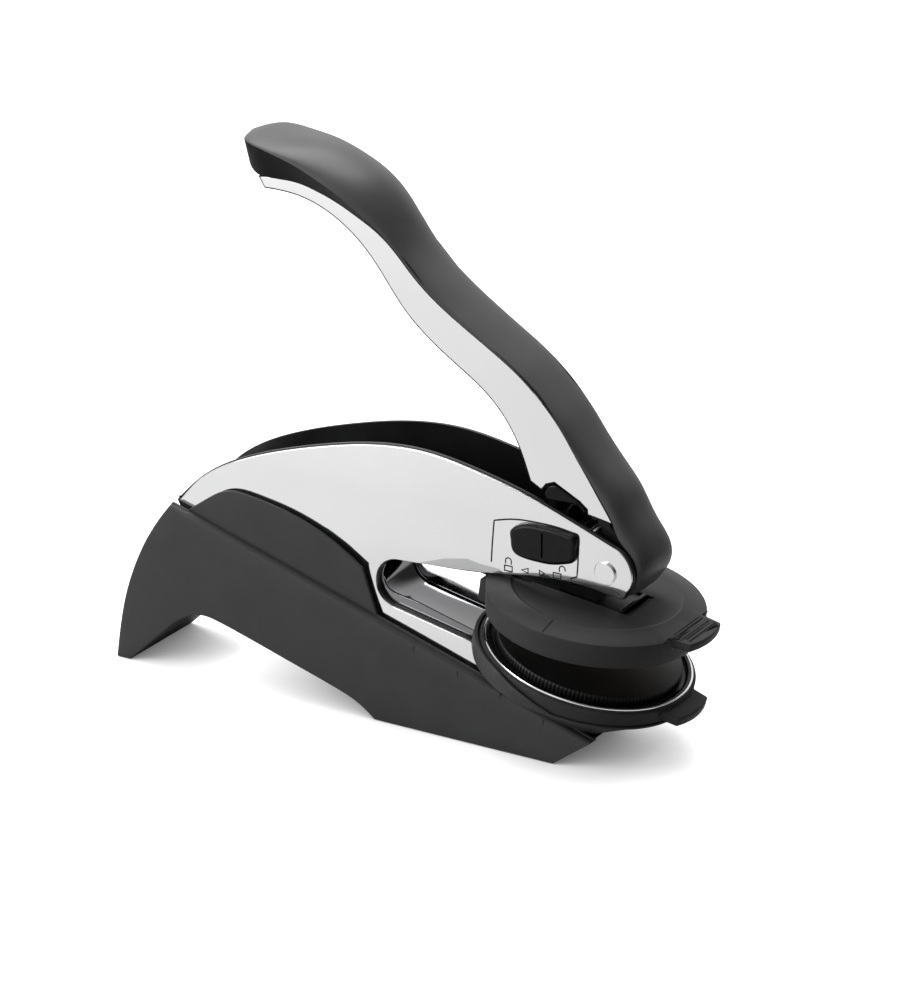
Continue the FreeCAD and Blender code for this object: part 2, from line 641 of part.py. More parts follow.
def die_arm():
    """Arm from the rear hinge over the throat to the plate that carries the upper die."""
    low = size("arm_plate_low")
    top = low + size("arm_plate_thickness")
    hinge_x, hinge_z = HINGE
    tail = size("spring_base_z") - size("fit_gap")
    outline = Outline(upper_point(PLATE_FRONT, low))
    outline.line(upper_point(PLATE_REAR, low), (-4.0, 46.5), (-27.5, 46.5), (hinge_x + ARM_EYE, 43.5),
                 (hinge_x + ARM_EYE, hinge_z))
    outline.arc((hinge_x, hinge_z - ARM_EYE), (hinge_x - ARM_EYE, hinge_z))
    outline.line((hinge_x - ARM_EYE, tail - 4.2), (size("spring_x") - 4.5, tail - 4.2),
                 (size("spring_x") - 4.5, tail), (size("spring_x") + 5.5, tail), (hinge_x - 3.0, 52.5),
                 (0.0, 52.5), (9.0, 49.6), upper_point(-16.5, top), upper_point(PLATE_FRONT, top))
    keep("die_arm", side_pad("die_arm_pad", outline.close(), "dims.arm_width",
                             [(HINGE, "hinge_radius", "running_gap")]))
    centre, bend = circle_through(*roller_path())
    reach = bend + size("roller_radius") + size("roller_gap")
    seat_rear, seat_front = upper_point(-8.5, top), upper_point(2.6, top)
    pad = Outline(seat_rear).line(polar(centre, reach, 235)).arc(polar(centre, reach, 270),
                                                               polar(centre, reach, 305))
    pad.line(seat_front)
    keep("wear_pad", side_pad("wear_pad_body", pad.close(), "dims.wear_pad_width"))


def return_spring():
    """Coil spring between the arm's tail and its seat."""
    radius, wire = size("spring_radius"), size("spring_wire_radius")
    height = SPRING_TOP - size("spring_base_z") - 2 * wire
    body = new_body("spring_coil")
    ring = sketch_in(body, "spring_wire", "XZ_Plane", [])
    add_circle(ring, (radius, wire), "spring_wire_radius")
    coil = body.newObject("PartDesign::AdditiveHelix", "spring_helix")
    coil.Profile = ring
    coil.ReferenceAxis = (ring, ["V_Axis"])
    coil.Mode = "height-turns-angle"
    coil.Height = height
    coil.setExpression("Turns", "dims.spring_turns")
    body.Placement = Placement(Vector(size("spring_x"), 0, size("spring_base_z")), Rotation())
    keep("return_spring", body)


# --- dies ---------------------------------------------------------------------------------------

TAB_ROOT = 26.4
RAIL_HALF = 0.15        # side clearance of the arm's plate in the upper holder


def tab_outline(width):
    """Plan of a front tab: sides that draw in a little and a bowed end."""
    root, reach = size("die_radius") - 2.6, size("die_radius") + size("tab_length")
    half = size(width) / 2
    outline = Outline((root, -half)).line((reach - 1.4, -half + 0.9))
    outline.arc((reach, 0), (reach - 1.4, half - 0.9))
    outline.line((root, half))
    return outline.close()


def grip_bars(name, frame, height, width):
    """Raised bars across a tab."""
    reach, half = size("die_radius") + size("tab_length"), size(width) / 2
    low, high = height - 0.2, height + 0.35
    return [block("%s_bar_%d" % (name, i), (reach - 7.0 + 1.9 * i, -half + 2.0, low),
                  (reach - 6.2 + 1.9 * i, half - 2.0, high), frame) for i in range(3)]


def lower_die():
    """Lower holder with its tab, the rim ring let into its edge, and the raised die face."""
    radius, wall = size("die_radius"), size("lower_wall")
    inset = radius - size("die_wall")
    seat = -1.2
    disc = turned_body("lower_disc", [(0, -wall), (radius - 0.5, -wall), (radius, -0.7), (radius - 0.5, -0.3),
                                      (radius - 2.3, -0.3), (radius - 2.8, seat), (0, seat)], LOWER)
    tab = flat_pad("lower_tab", tab_outline("lower_tab_width"), -wall + 1.0, -1.3, LOWER)
    keep("lower_die_holder", joined("lower_holder_body", disc, tab))
    keep("lower_rim_ring", turned_body("rim_ring", [(radius - 1.7, -0.3), (radius - 0.9, -0.3),
                                                    (radius - 0.9, 0.0), (radius - 1.1, 0.2),
                                                    (radius - 1.5, 0.2), (radius - 1.7, 0.0)], LOWER))
    face = size("lower_face")
    keep("lower_die_insert", turned_body("lower_face_disc", [(0, seat), (inset, seat), (inset, face - 0.4),
                                                             (inset - 0.4, face), (0, face)], LOWER))


def upper_die():
    """Upper holder with its tab and the T-shaped way that the arm's plate lies in."""
    radius, wall, dome = size("die_radius"), size("upper_wall"), size("upper_dome")
    inset = radius - size("die_wall")
    seat = -wall + 1.9
    disc = turned_body("upper_disc", [(0, seat), (inset + 0.1, seat), (inset + 0.1, -wall),
                                      (radius - 0.7, -wall), (radius, 0), (radius - 6.4, dome),
                                      (radius - 7.0, dome - 0.4), (0, dome - 0.4)], UPPER)
    back = block("upper_back", (0.9 - radius, -12.0, -wall), (-inset - 0.4, 12.0, -0.5), UPPER)
    tab = flat_pad("upper_tab", tab_outline("upper_tab_width"), -2.0, 0.3, UPPER)
    bars = grip_bars("upper", UPPER, 0.3, "upper_tab_width")
    low = size("arm_plate_low") - RAIL_HALF
    top = size("arm_plate_low") + size("arm_plate_thickness") + RAIL_HALF
    half = size("arm_width") / 2 + RAIL_HALF
    way = block("upper_way", (-WIDE, -half, low), (PLATE_FRONT + 0.4, half, top), UPPER)
    lip = 1.1
    mouth = block("upper_way_mouth", (-WIDE, -half + lip, top - 0.1),
                  (PLATE_FRONT + 1.6, half - lip, 20), UPPER)
    rear_mouth = block("upper_rear_mouth", (-WIDE, -half, top - 0.1), (-15.5, half, 20), UPPER)
    blank = joined("upper_holder_blank", disc, back, tab, *bars)
    keep("upper_die_holder", cut_from("upper_holder_body", blank, way, mouth, rear_mouth))
    keep("upper_die_insert", turned_body("upper_face_disc", [(0, -wall), (inset - 0.3, -wall),
                                                             (inset, -wall + 0.3), (inset, seat), (0, seat)],
                                         UPPER))


# --- handle -------------------------------------------------------------------------------------

EDGE_TIP = (-64.7, 143.3)
EDGE_NOSE = (41.5, 66.9)
TOP_EDGE = [(-55.1, 144.1), (-41.1, 140.7), (-27.3, 133.6), (-10.2, 117.9), (6.7, 107.3), (20.2, 96.7),
            (30.0, 84.4), EDGE_NOSE]
LOW_EDGE = [(-53.0, 139.8), (-39.8, 134.7), (-30.2, 126.4), (-20.5, 114.1), (-6.8, 103.0), (5.4, 94.3),
            (13.3, 83.6), (17.0, 74.2)]
LOCKED = (size("lock_x") - size("lock_travel"), size("lock_z"))
HOOK = size("lock_pin_radius") + size("catch_gap")      # half the mouth of the catch


def round_the_pin(spots):
    """Outline given round the locked pin with the handle closed, turned back to rest."""
    rest = [closed_handle((LOCKED[0] + x, LOCKED[1] + z)) for x, z in spots]
    return Outline(rest[0]).line(*rest[1:]).close()


def catch_outline():
    """Catch: a block with a hook whose mouth opens forwards."""
    return round_the_pin([(-11.1, -0.3), (-9.8, 1.5), (-2.0, HOOK + 1.1), (0.4, HOOK + 1.1), (1.4, HOOK),
                          (-HOOK - 0.5, HOOK), (-HOOK - 0.5, -HOOK), (2.0, -HOOK), (2.0, -HOOK - 2.5),
                          (-6.5, -HOOK - 3.1), (-10.4, -HOOK - 1.4)])


def catch_room(gap):
    """Room for the catch in the handle, with the pin's way in."""
    way = size("lock_travel") + 2.0
    return round_the_pin([(-11.1 - gap, -0.3), (-9.8 - gap, 1.5 + gap), (-2.0, HOOK + 1.1 + gap),
                          (0.4 + gap, HOOK + 1.1 + gap), (1.4 + gap, HOOK + gap),
                          (way, HOOK + gap), (way, -HOOK - gap), (4.2, -HOOK - 2.5 - gap),
                          (-6.5, -HOOK - 3.1 - gap), (-10.4 - gap, -HOOK - 1.4 - gap)])


def channel_outline():
    """Chromed channel's side, between its lower edge and the grip."""
    outline = Outline(EDGE_TIP).curve(*TOP_EDGE)
    outline.line(LOW_EDGE[-1]).curve(*reversed(LOW_EDGE[:-1]))
    outline.line((-62.8, 140.3))
    return outline.close()


def shifted(points, distance):
    """Points of a run moved square to the run, to its left as it is walked."""
    moved = []
    for index, point in enumerate(points):
        before, after = points[max(index - 1, 0)], points[min(index + 1, len(points) - 1)]
        dx, dz = after[0] - before[0], after[1] - before[1]
        length = math.hypot(dx, dz)
        moved.append((point[0] - dz / length * distance, point[1] + dx / length * distance))
    return moved


def core_outline():
    """Core: hub round the pivot, neck past the lock pin's path, beam inside the channel."""
    web = size("channel_wall")
    hub = size("hub_radius")
    upper = shifted(TOP_EDGE, -web - size("fit_gap"))
    upper[-1] = (upper[-1][0] - 1.2, upper[-1][1] + 0.6)
    lower = shifted(LOW_EDGE, 2.0)
    path = math.hypot(size("lock_x") - PIVOT[0], size("lock_z") - PIVOT[1]) + LOCK_TOP + 0.3
    outline = Outline(polar(PIVOT, hub, 72)).arc(polar(PIVOT, hub, -30), polar(PIVOT, hub, 180))
    outline.arc(polar(PIVOT, hub, 145), polar(PIVOT, hub, 112))
    outline.line(polar(PIVOT, path, 108)).arc(polar(PIVOT, path, 124), polar(PIVOT, path, 139))
    outline.line((19.5, 74.5)).curve(*reversed(lower[:-1]))
    outline.line(upper[0]).curve(*upper[1:])
    return outline.close()


def handle_shell():
    """Chromed channel, open below, with its web under the grip, and the core inside it."""
    blank = side_pad("channel_blank", channel_outline(), HANDLE_WIDTH)
    hollow_top = shifted(TOP_EDGE, -size("channel_wall"))
    hollow = Outline(hollow_top[0]).curve(*hollow_top[1:])
    hollow.line((48.0, 55.0), (0.0, 55.0), (-75.0, 120.0), (-75.0, 142.0), (-66.0, 142.6))
    inside = side_pad("channel_hollow", hollow.close(), HANDLE_WIDTH + " - 2 * dims.channel_wall")
    notch = side_pad("channel_notch", catch_room(0.2), "2 * dims.frame_width")
    keep("handle_channel", cut_from("channel_cut", blank, inside, notch))
    core_width = HANDLE_WIDTH + " - 2 * dims.channel_wall - 2 * dims.fit_gap"
    core = side_pad("core_blank", core_outline(), core_width)
    hook_room = side_pad("core_catch_room", catch_room(0.05), "2 * dims.frame_width")
    cam_room = side_pad("core_cam_room", cam_outline(size("fit_gap")), "dims.cam_width + 2 * dims.fit_gap")
    bore = cross_rod("core_bore", PIVOT, "dims.bush_radius", "dims.frame_width")
    keep("handle_core", cut_from("core_cut", core, hook_room, cam_room, bore))
    keep("handle_catch", side_pad("catch_pad", catch_outline(), HANDLE_WIDTH))


def cam_outline(grow=0.0):
    """Cam: hub round the pivot, tail up the core's neck, finger that ends at the roller."""
    hub = size("hub_radius") - 0.6 + grow
    reach, angle = size("cam_reach"), size("cam_angle")
    tip = polar(PIVOT, reach, angle)
    end = size("roller_radius") - 0.7 + grow
    outline = Outline(polar(PIVOT, hub, 75))
    outline.arc(polar(PIVOT, hub, -45), polar(PIVOT, hub, angle + 35))
    outline.line(polar(tip, end, angle - 90 + 180))
    outline.arc(polar(tip, end, angle), polar(tip, end, angle - 90))
    outline.line(polar(PIVOT, hub, angle - 35))
    outline.arc(polar(PIVOT, hub, 130), polar(PIVOT, hub, 106))
    outline.line(polar(PIVOT, hub + 4.0 + grow, 103), polar(PIVOT, hub + 4.0 + grow, 84))
    return outline.close()


def cam():
    """Cam finger with a fork for the roller, the roller and its pin, and the pivot bushes."""
    tip = polar(PIVOT, size("cam_reach"), size("cam_angle"))
    blank = side_pad("cam_blank", cam_outline(), "dims.cam_width",
                     [(PIVOT, "pivot_radius", "running_gap"), (tip, "roller_pin_radius")])
    room = cross_rod("cam_fork_room", tip, "dims.roller_radius + 4 * dims.fit_gap",
                     "dims.roller_width + 4 * dims.fit_gap")
    keep("press_cam", cut_from("cam_cut", blank, room))
    keep("roller_pin", cross_rod("roller_pin_rod", tip, "dims.roller_pin_radius", "dims.cam_width"))
    wheel = cross_rod("roller_blank", tip, "dims.roller_radius", "dims.roller_width")
    bore = cross_rod("roller_bore", tip, "dims.roller_pin_radius + dims.running_gap", "dims.frame_width")
    keep("cam_roller", cut_from("roller_cut", wheel, bore))
    inner = size("cam_width") / 2 + size("fit_gap")
    cheek = HALF_HANDLE - size("channel_wall") - size("fit_gap")
    bushes = []
    for side, sign in (("right", -1), ("left", 1)):
        span = max(sign * inner, sign * HALF_HANDLE)
        sleeve = cross_rod("bush_sleeve_" + side, PIVOT, "dims.bush_radius",
                           "%f" % (HALF_HANDLE - inner), span)
        start = max(sign * cheek, sign * HALF_HANDLE)
        flange = cross_rod("bush_flange_" + side, PIVOT, "dims.bush_flange_radius",
                           "%f" % (HALF_HANDLE - cheek), start)
        through = cross_rod("bush_bore_" + side, PIVOT, "dims.pivot_radius + dims.running_gap",
                            "dims.frame_width")
        bushes.append(cut_from("bush_" + side, joined("bush_blank_" + side, sleeve, flange), through))
    keep("pivot_bushes", grouped("bush_group", *bushes))


# foot and crown in the side view, half-width of the foot, share of the height at which the
# section is widest, half-width there
GRIP_STATIONS = [
    ((-71.5, 150.4), (-71.5, 153.0), 1.6, 0.38, 2.8),
    ((-70.4, 148.0), (-70.4, 153.4), 4.4, 0.70, 6.2),
    ((-68.6, 145.8), (-68.6, 153.7), 6.8, 0.84, 9.0),
    ((-66.0, 144.0), (-66.0, 153.6), 8.2, 0.86, 10.8),
    ((-61.5, 143.4), (-61.5, 153.2), HALF_HANDLE, 0.82, 11.7),
    ((-57.0, 143.4), (-57.0, 152.9), HALF_HANDLE, 0.74, 12.1),
    ((-52.5, 143.2), (-52.0, 152.5), HALF_HANDLE, 0.63, 12.2),
    ((-46.2, 141.7), (-45.2, 151.2), HALF_HANDLE, 0.48, 12.1),
    ((-39.9, 139.4), (-37.9, 148.4), HALF_HANDLE, 0.39, 11.8),
    ((-34.5, 136.8), (-31.5, 144.7), HALF_HANDLE, 0.28, 11.0),
    ((-28.7, 133.6), (-26.2, 138.6), HALF_HANDLE, 0.21, 9.9),
    ((-23.4, 129.3), (-21.9, 131.8), HALF_HANDLE, 0.14, 9.0),
    ((-17.4, 123.1), (-16.0, 125.1), HALF_HANDLE, 0.10, HALF_HANDLE),
    ((-10.5, 117.4), (-9.1, 119.5), HALF_HANDLE, 0.10, HALF_HANDLE),
    ((-2.0, 111.9), (-0.9, 113.5), HALF_HANDLE, 0.10, HALF_HANDLE),
    ((6.4, 106.8), (7.2, 107.9), HALF_HANDLE, 0.10, HALF_HANDLE),
    ((13.2, 102.2), (13.9, 103.0), HALF_HANDLE, 0.10, HALF_HANDLE),
    ((19.8, 96.3), (20.5, 97.0), HALF_HANDLE, 0.10, HALF_HANDLE),
    ((25.2, 90.4), (26.1, 91.1), HALF_HANDLE, 0.10, HALF_HANDLE),
    ((29.5, 84.1), (31.0, 85.1), HALF_HANDLE, 0.10, HALF_HANDLE),
    ((34.5, 76.8), (37.2, 78.5), HALF_HANDLE, 0.10, HALF_HANDLE),
    ((38.4, 71.0), (41.8, 73.3), HALF_HANDLE, 0.10, HALF_HANDLE),
]


def grip_section(station):
    """Cross-section of the grip: flat foot, flare to the widest line, faceted crown."""
    foot, crown, foot_half, share, half_width = station
    rise = 1 - share
    half = [(foot_half, 0.0), (half_width, share), (half_width * 0.93, share + rise * 0.45),
            (half_width * 0.70, share + rise * 0.82), (half_width * 0.35, share + rise * 0.97)]
    ring = half + [(-y, t) for y, t in reversed(half)]
    corners = [Vector(foot[0] + (crown[0] - foot[0]) * t, y, foot[1] + (crown[1] - foot[1]) * t)
               for y, t in ring]
    return Part.makePolygon(corners + [corners[0]])


def grip():
    """Soft grip: a crowned cap along the channel, wide at the tip, with the nose round the hub."""
    crown = doc.addObject("Part::Feature", "grip_crown")
    crown.Shape = Part.makeLoft([grip_section(station) for station in GRIP_STATIONS], True, False)
    cap = cut_from("grip_cap", crown, side_pad("grip_seat", channel_outline(), "2 * dims.frame_width"))
    inner = size("hub_radius") + size("fit_gap")
    start = (38.7, 71.3)
    nose = Outline(start).line((41.1, 72.9), (43.4, 70.0))
    nose.curve((47.1, 64.9), (49.9, 60.3), (50.7, 57.3), (50.0, 53.0), (46.9, 48.2))
    nose.line(polar(PIVOT, inner, -48)).arc(polar(PIVOT, inner, 12), polar(PIVOT, inner, 70))
    nose.line(EDGE_NOSE)
    keep("handle_grip", joined("grip_body", cap, side_pad("grip_nose", nose.close(), HANDLE_WIDTH)))


# --- lock ---------------------------------------------------------------------------------------

def lock():
    """Slider on the right-hand cover and the pin that it carries through the slot."""
    middle = (size("lock_x") - 7.1, size("lock_z"))
    half, rise = size("button_length") / 2, size("button_height") / 2
    x, z = middle
    outline = Outline((x - half, z + rise * 0.25))
    outline.curve((x - half * 0.82, z + rise * 0.86), (x, z + rise), (x + half * 0.84, z + rise * 0.62),
                  (x + half, z + rise * 0.1))
    outline.line((x + half, z - rise * 0.35))
    outline.curve((x + half * 0.85, z - rise * 0.8), (x, z - rise), (x - half * 0.8, z - rise * 0.7),
                  (x - half, z - rise * 0.2))
    face = "dims.frame_width / 2 + dims.fit_gap"
    body = side_pad("button_body", outline.close(), "dims.button_thickness", offset=face)
    rib = block("button_rib", (x - 0.3, -HALF_FRAME - size("button_thickness") - 0.45, z - rise * 0.7),
                (x + 0.3, -HALF_FRAME - size("button_thickness") + 0.2, z + rise * 0.7))
    outer = -HALF_FRAME - size("fit_gap")
    centre = (size("lock_x"), size("lock_z"))
    socket = cross_rod("button_socket", centre, "dims.lock_pin_radius", "1.2", outer)
    keep("lock_button", cut_from("button_cut", joined("button_ribbed", body, rib), socket))
    keep("lock_pin", cross_rod("lock_pin_rod", centre, "dims.lock_pin_radius",
                               "%f" % (HALF_HANDLE - outer + 1.0), HALF_HANDLE - 0.2))


# --- build, check and write ---------------------------------------------------------------------

side_plates()
base()
foot_pads()
liners()
die_nest()
riveted_pin("pivot_pin", PIVOT, "pivot_radius")
riveted_pin("arm_hinge_pin", HINGE, "hinge_radius")
tie_rods_and_screws()
spring_seat()
die_arm()
return_spring()
lower_die()
upper_die()
handle_shell()
cam()
grip()
lock()
doc.recompute()

faults = [item.Name for item in doc.Objects if {"Invalid", "Error"} & set(item.State)]
if faults:
    raise RuntimeError("features failed: " + ", ".join(faults))
for node, item in nodes.items():
    if item.Shape.isNull() or not item.Shape.isValid() or not item.Shape.Solids:
        raise RuntimeError("bad shape: " + node)

os.makedirs("parts", exist_ok=True)
for node, item in nodes.items():
    item.Shape.exportStep(os.path.join("parts", node + ".step"))
    box = item.Shape.BoundBox
    print("%-18s %2d solid  volume %9.1f  x %7.1f %7.1f  y %6.1f %6.1f  z %6.1f %6.1f" % (
        node, len(item.Shape.Solids), item.Shape.Volume, box.XMin, box.XMax, box.YMin, box.YMax,
        box.ZMin, box.ZMax))
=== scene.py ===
import math

import bmesh
import bpy
import numpy as np
from mathutils import Matrix, Vector
from mathutils.geometry import tessellate_polygon


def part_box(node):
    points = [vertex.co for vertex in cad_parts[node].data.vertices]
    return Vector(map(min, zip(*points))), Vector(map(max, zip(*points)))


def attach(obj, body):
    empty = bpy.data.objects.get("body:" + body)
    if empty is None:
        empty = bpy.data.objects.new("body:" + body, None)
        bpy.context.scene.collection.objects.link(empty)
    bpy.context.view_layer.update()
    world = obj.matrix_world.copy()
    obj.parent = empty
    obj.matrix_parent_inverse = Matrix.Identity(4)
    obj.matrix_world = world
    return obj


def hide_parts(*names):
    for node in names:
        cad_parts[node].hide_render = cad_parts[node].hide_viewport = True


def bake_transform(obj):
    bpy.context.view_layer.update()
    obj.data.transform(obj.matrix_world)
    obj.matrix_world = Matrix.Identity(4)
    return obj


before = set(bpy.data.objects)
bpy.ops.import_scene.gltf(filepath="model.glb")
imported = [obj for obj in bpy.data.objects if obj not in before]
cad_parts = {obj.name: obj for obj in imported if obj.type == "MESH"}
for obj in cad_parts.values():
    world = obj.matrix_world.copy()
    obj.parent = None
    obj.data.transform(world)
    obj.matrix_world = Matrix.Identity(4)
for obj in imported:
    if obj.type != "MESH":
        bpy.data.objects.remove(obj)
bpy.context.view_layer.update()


# Camera: level, from the right-hand side and a little above. It stands about a metre away and has
# a long lens, so upright edges stay nearly upright.
AZIMUTH, ELEVATION, DISTANCE = math.radians(30.58), math.radians(21.01), 1.0525
AIM, AIM_RIGHT, AIM_UP = Vector((0.030, 0.0, 0.0)), -0.03619, 0.06407
FOCAL_LENGTH, SENSOR_WIDTH, NEAREST = 144.0, 36.0, 0.05
back = Vector((math.sin(AZIMUTH) * math.cos(ELEVATION), -math.cos(AZIMUTH) * math.cos(ELEVATION),
               math.sin(ELEVATION)))
right = Vector((math.cos(AZIMUTH), math.sin(AZIMUTH), 0.0))
up = back.cross(right)
lens = bpy.data.cameras.new("camera")
lens.lens, lens.sensor_width, lens.clip_start = FOCAL_LENGTH, SENSOR_WIDTH, NEAREST
camera = bpy.data.objects.new("camera", lens)
place = DISTANCE * back + AIM_RIGHT * right + AIM_UP * up + AIM
camera.matrix_world = Matrix.Translation(place) @ Matrix((right, up, back)).transposed().to_4x4()
bpy.context.scene.collection.objects.link(camera)
bpy.context.scene.camera = camera
bpy.context.scene.view_settings.view_transform = "Standard"


# Studio: a pale floor that keeps the contact shadow and otherwise shows as the white background, a
# white surround that darkens towards the front in reflections, and two large soft lamps.
WHITE = (1, 1, 1, 1)
WORLD_LIGHT, WORLD_FRONT, DARK_SIDE = 0.34, 0.03, 0.08
WORLD_FALL, FLOOR_FALL = (0.05, 0.60), (0.06, 0.30)
FLOOR_HALF, FLOOR_GREY, FLOOR_MIRRORED, FLOOR_SHOWN = 3.0, 0.32, 0.80, 0.60
GLOW, CAMERA_GLOW, SHADE_REACH = 0.10, 1.12, 0.018
LAMP_AIM = Vector((-0.02, 0, 0.06))
LAMPS = (("key", (-0.15, 0.15, 0.62), 0.45, 3.6), ("fill", (-0.50, -0.60, 0.40), 0.6, 4.2))


def empty_tree(owner):
    """Node tree of a world or material, with no nodes in it."""
    owner.use_nodes = True
    owner.node_tree.nodes.clear()
    return owner.node_tree


def added(tree, kind, *sources, **settings):
    """New node of a kind, with its first inputs linked to the sources in order. A setting whose
    name has a capital is an input, its underscores read as spaces, and takes a value or a link.
    Any other setting is a property of the node."""
    node = tree.nodes.new("ShaderNode" + kind)
    for socket, source in zip(node.inputs, sources):
        tree.links.new(source, socket)
    for name, value in settings.items():
        if name[0].islower():
            setattr(node, name, value)
        elif isinstance(value, bpy.types.NodeSocket):
            tree.links.new(value, node.inputs[name.replace("_", " ")])
        else:
            node.inputs[name.replace("_", " ")].default_value = value
    return node


def larger(tree, first, second):
    """The larger of two numbers."""
    return added(tree, "Math", first, second, operation="MAXIMUM").outputs[0]


def mapped(tree, value, low, high, start=0.0, stop=1.0, curve="LINEAR"):
    """A value from start to stop becomes a number from low to high."""
    return added(tree, "MapRange", value, From_Min=start, From_Max=stop, To_Min=low, To_Max=high,
                 interpolation_type=curve).outputs["Result"]


def darker_ahead(tree, coordinate, start, stop):
    """1 behind a place along X, down to the dark side's level past another, in a smooth step."""
    where = tree.nodes.new("ShaderNodeTexCoord").outputs[coordinate]
    along = added(tree, "SeparateXYZ", where).outputs["X"]
    return mapped(tree, along, 1.0, DARK_SIDE, start, stop, "SMOOTHSTEP")


def by_view(tree, rays, lit, shown):
    """One shader for rays that carry light, and another for those that come from the camera, a
    mirror or glass: the largest of the three ray flags chooses."""
    direct = larger(tree, rays["Is Camera Ray"], rays["Is Glossy Ray"])
    direct = larger(tree, direct, rays["Is Transmission Ray"])
    return added(tree, "MixShader", direct, lit.outputs[0], shown.outputs[0]).outputs[0]


def surround():
    """World: dim and plain as a light, plain white to the camera, and in reflections a white that
    falls off towards the front."""
    bpy.context.scene.world = bpy.data.worlds.new("studio")
    tree = empty_tree(bpy.context.scene.world)
    rays = tree.nodes.new("ShaderNodeLightPath").outputs
    fall = darker_ahead(tree, "Generated", *WORLD_FALL)
    strength = mapped(tree, fall, WORLD_FRONT, WORLD_LIGHT, DARK_SIDE)
    lit = added(tree, "Background", Color=WHITE, Strength=strength)
    shown = added(tree, "Background", Color=WHITE, Strength=larger(tree, fall, rays["Is Camera Ray"]))
    added(tree, "OutputWorld", by_view(tree, rays, lit, shown))


def floor_paint():
    """Grey as a reflector of light. To the camera and mirrors it is brighter and glows, except
    close to what stands on it; in mirrors it darkens towards the front, as the world does."""
    material = bpy.data.materials.new("floor")
    tree = empty_tree(material)
    rays = tree.nodes.new("ShaderNodeLightPath").outputs
    in_view = rays["Is Camera Ray"]
    tone = mapped(tree, in_view, FLOOR_MIRRORED, FLOOR_SHOWN)
    fade = larger(tree, darker_ahead(tree, "Object", *FLOOR_FALL), in_view)
    bright = added(tree, "BsdfDiffuse", added(tree, "Math", fade, tone, operation="MULTIPLY").outputs[0])
    near = added(tree, "AmbientOcclusion", Distance=SHADE_REACH).outputs["Color"]
    glow = added(tree, "Emission", near, Strength=mapped(tree, in_view, GLOW, CAMERA_GLOW))
    shown = added(tree, "AddShader", bright.outputs[0], glow.outputs[0])
    plain = added(tree, "BsdfDiffuse", Color=(FLOOR_GREY, FLOOR_GREY, FLOOR_GREY, 1))
    added(tree, "OutputMaterial", by_view(tree, rays, plain, shown))
    return material


surround()
ground = bpy.data.meshes.new("floor")
ground.from_pydata([(FLOOR_HALF * a, FLOOR_HALF * b, 0) for a, b in ((-1, -1), (1, -1), (1, 1), (-1, 1))],
                   [], [(0, 1, 2, 3)])
ground.materials.append(floor_paint())
floor = bpy.data.objects.new("floor", ground)
bpy.context.scene.collection.objects.link(floor)
for name, spot, size, power in LAMPS:
    lamp = bpy.data.lights.new(name, "AREA")
    lamp.shape, lamp.size, lamp.energy = "DISK", size, power
    holder = bpy.data.objects.new(name, lamp)
    facing = (LAMP_AIM - Vector(spot)).to_track_quat("-Z", "Y").to_matrix().to_4x4()
    holder.matrix_world = Matrix.Translation(spot) @ facing
    bpy.context.scene.collection.objects.link(holder)


# Base: one hollow moulding in charcoal plastic, with a rear leg, an arch, and side walls that rise
# as panels round the frame. Below a crease its sides stand proud of the panels.
MM = 0.001
CREASE_SLOPE, CREASE_TUCK = math.tan(math.radians(17.2)), 1.2
FRONT_TOP = np.array((39.2, 8.0))
FOOT_BACK, FOOT_FRONT, LEG_FRONT, SOLE = -110.5, -105.5, -91.0, 0.2


def clouded(name, colour, roughness, grain, depth, mottle, spread, cloud, fine, **finish):
    """A slow cloud, of a scale and detail, moves the colour by a share and the gloss by a spread. A
    fine grain, in cells per metre, with its own detail and strength, stands up as bump."""
    material = bpy.data.materials.new(name)
    tree = empty_tree(material)
    where = tree.nodes.new("ShaderNodeTexCoord").outputs["Object"]
    slow = added(tree, "TexNoise", where, Scale=cloud[0], Detail=cloud[1]).outputs["Fac"]
    shade = added(tree, "ValToRGB", slow)
    for stop, spot, share in zip(shade.color_ramp.elements, (0.3, 0.7), (1 - mottle, 1 + mottle)):
        stop.position, stop.color = spot, [c * share for c in colour] + [1]
    gloss = mapped(tree, slow, roughness - spread, roughness + spread, 0.3, 0.7)
    grit = added(tree, "TexNoise", where, Scale=grain, Detail=fine[0]).outputs["Fac"]
    bump = added(tree, "Bump", Height=grit, Distance=depth, Strength=fine[1]).outputs["Normal"]
    shader = added(tree, "BsdfPrincipled", Base_Color=shade.outputs["Color"], Roughness=gloss,
                   Normal=bump, **finish)
    added(tree, "OutputMaterial", shader.outputs["BSDF"])
    return material


def plastic(name, colour, roughness, grain=900.0, depth=0.00002, mottle=0.12, spread=0.06,
            specular=0.5, coat=0.0, sheen=0.0):
    """Moulded plastic or rubber: a fine grain, and a colour and gloss that drift a little."""
    return clouded(name, colour, roughness, grain, depth, mottle, spread, (60.0, 5.0), (3.0, 0.6),
                   Specular_IOR_Level=specular, Coat_Weight=coat, Sheen_Weight=sheen)


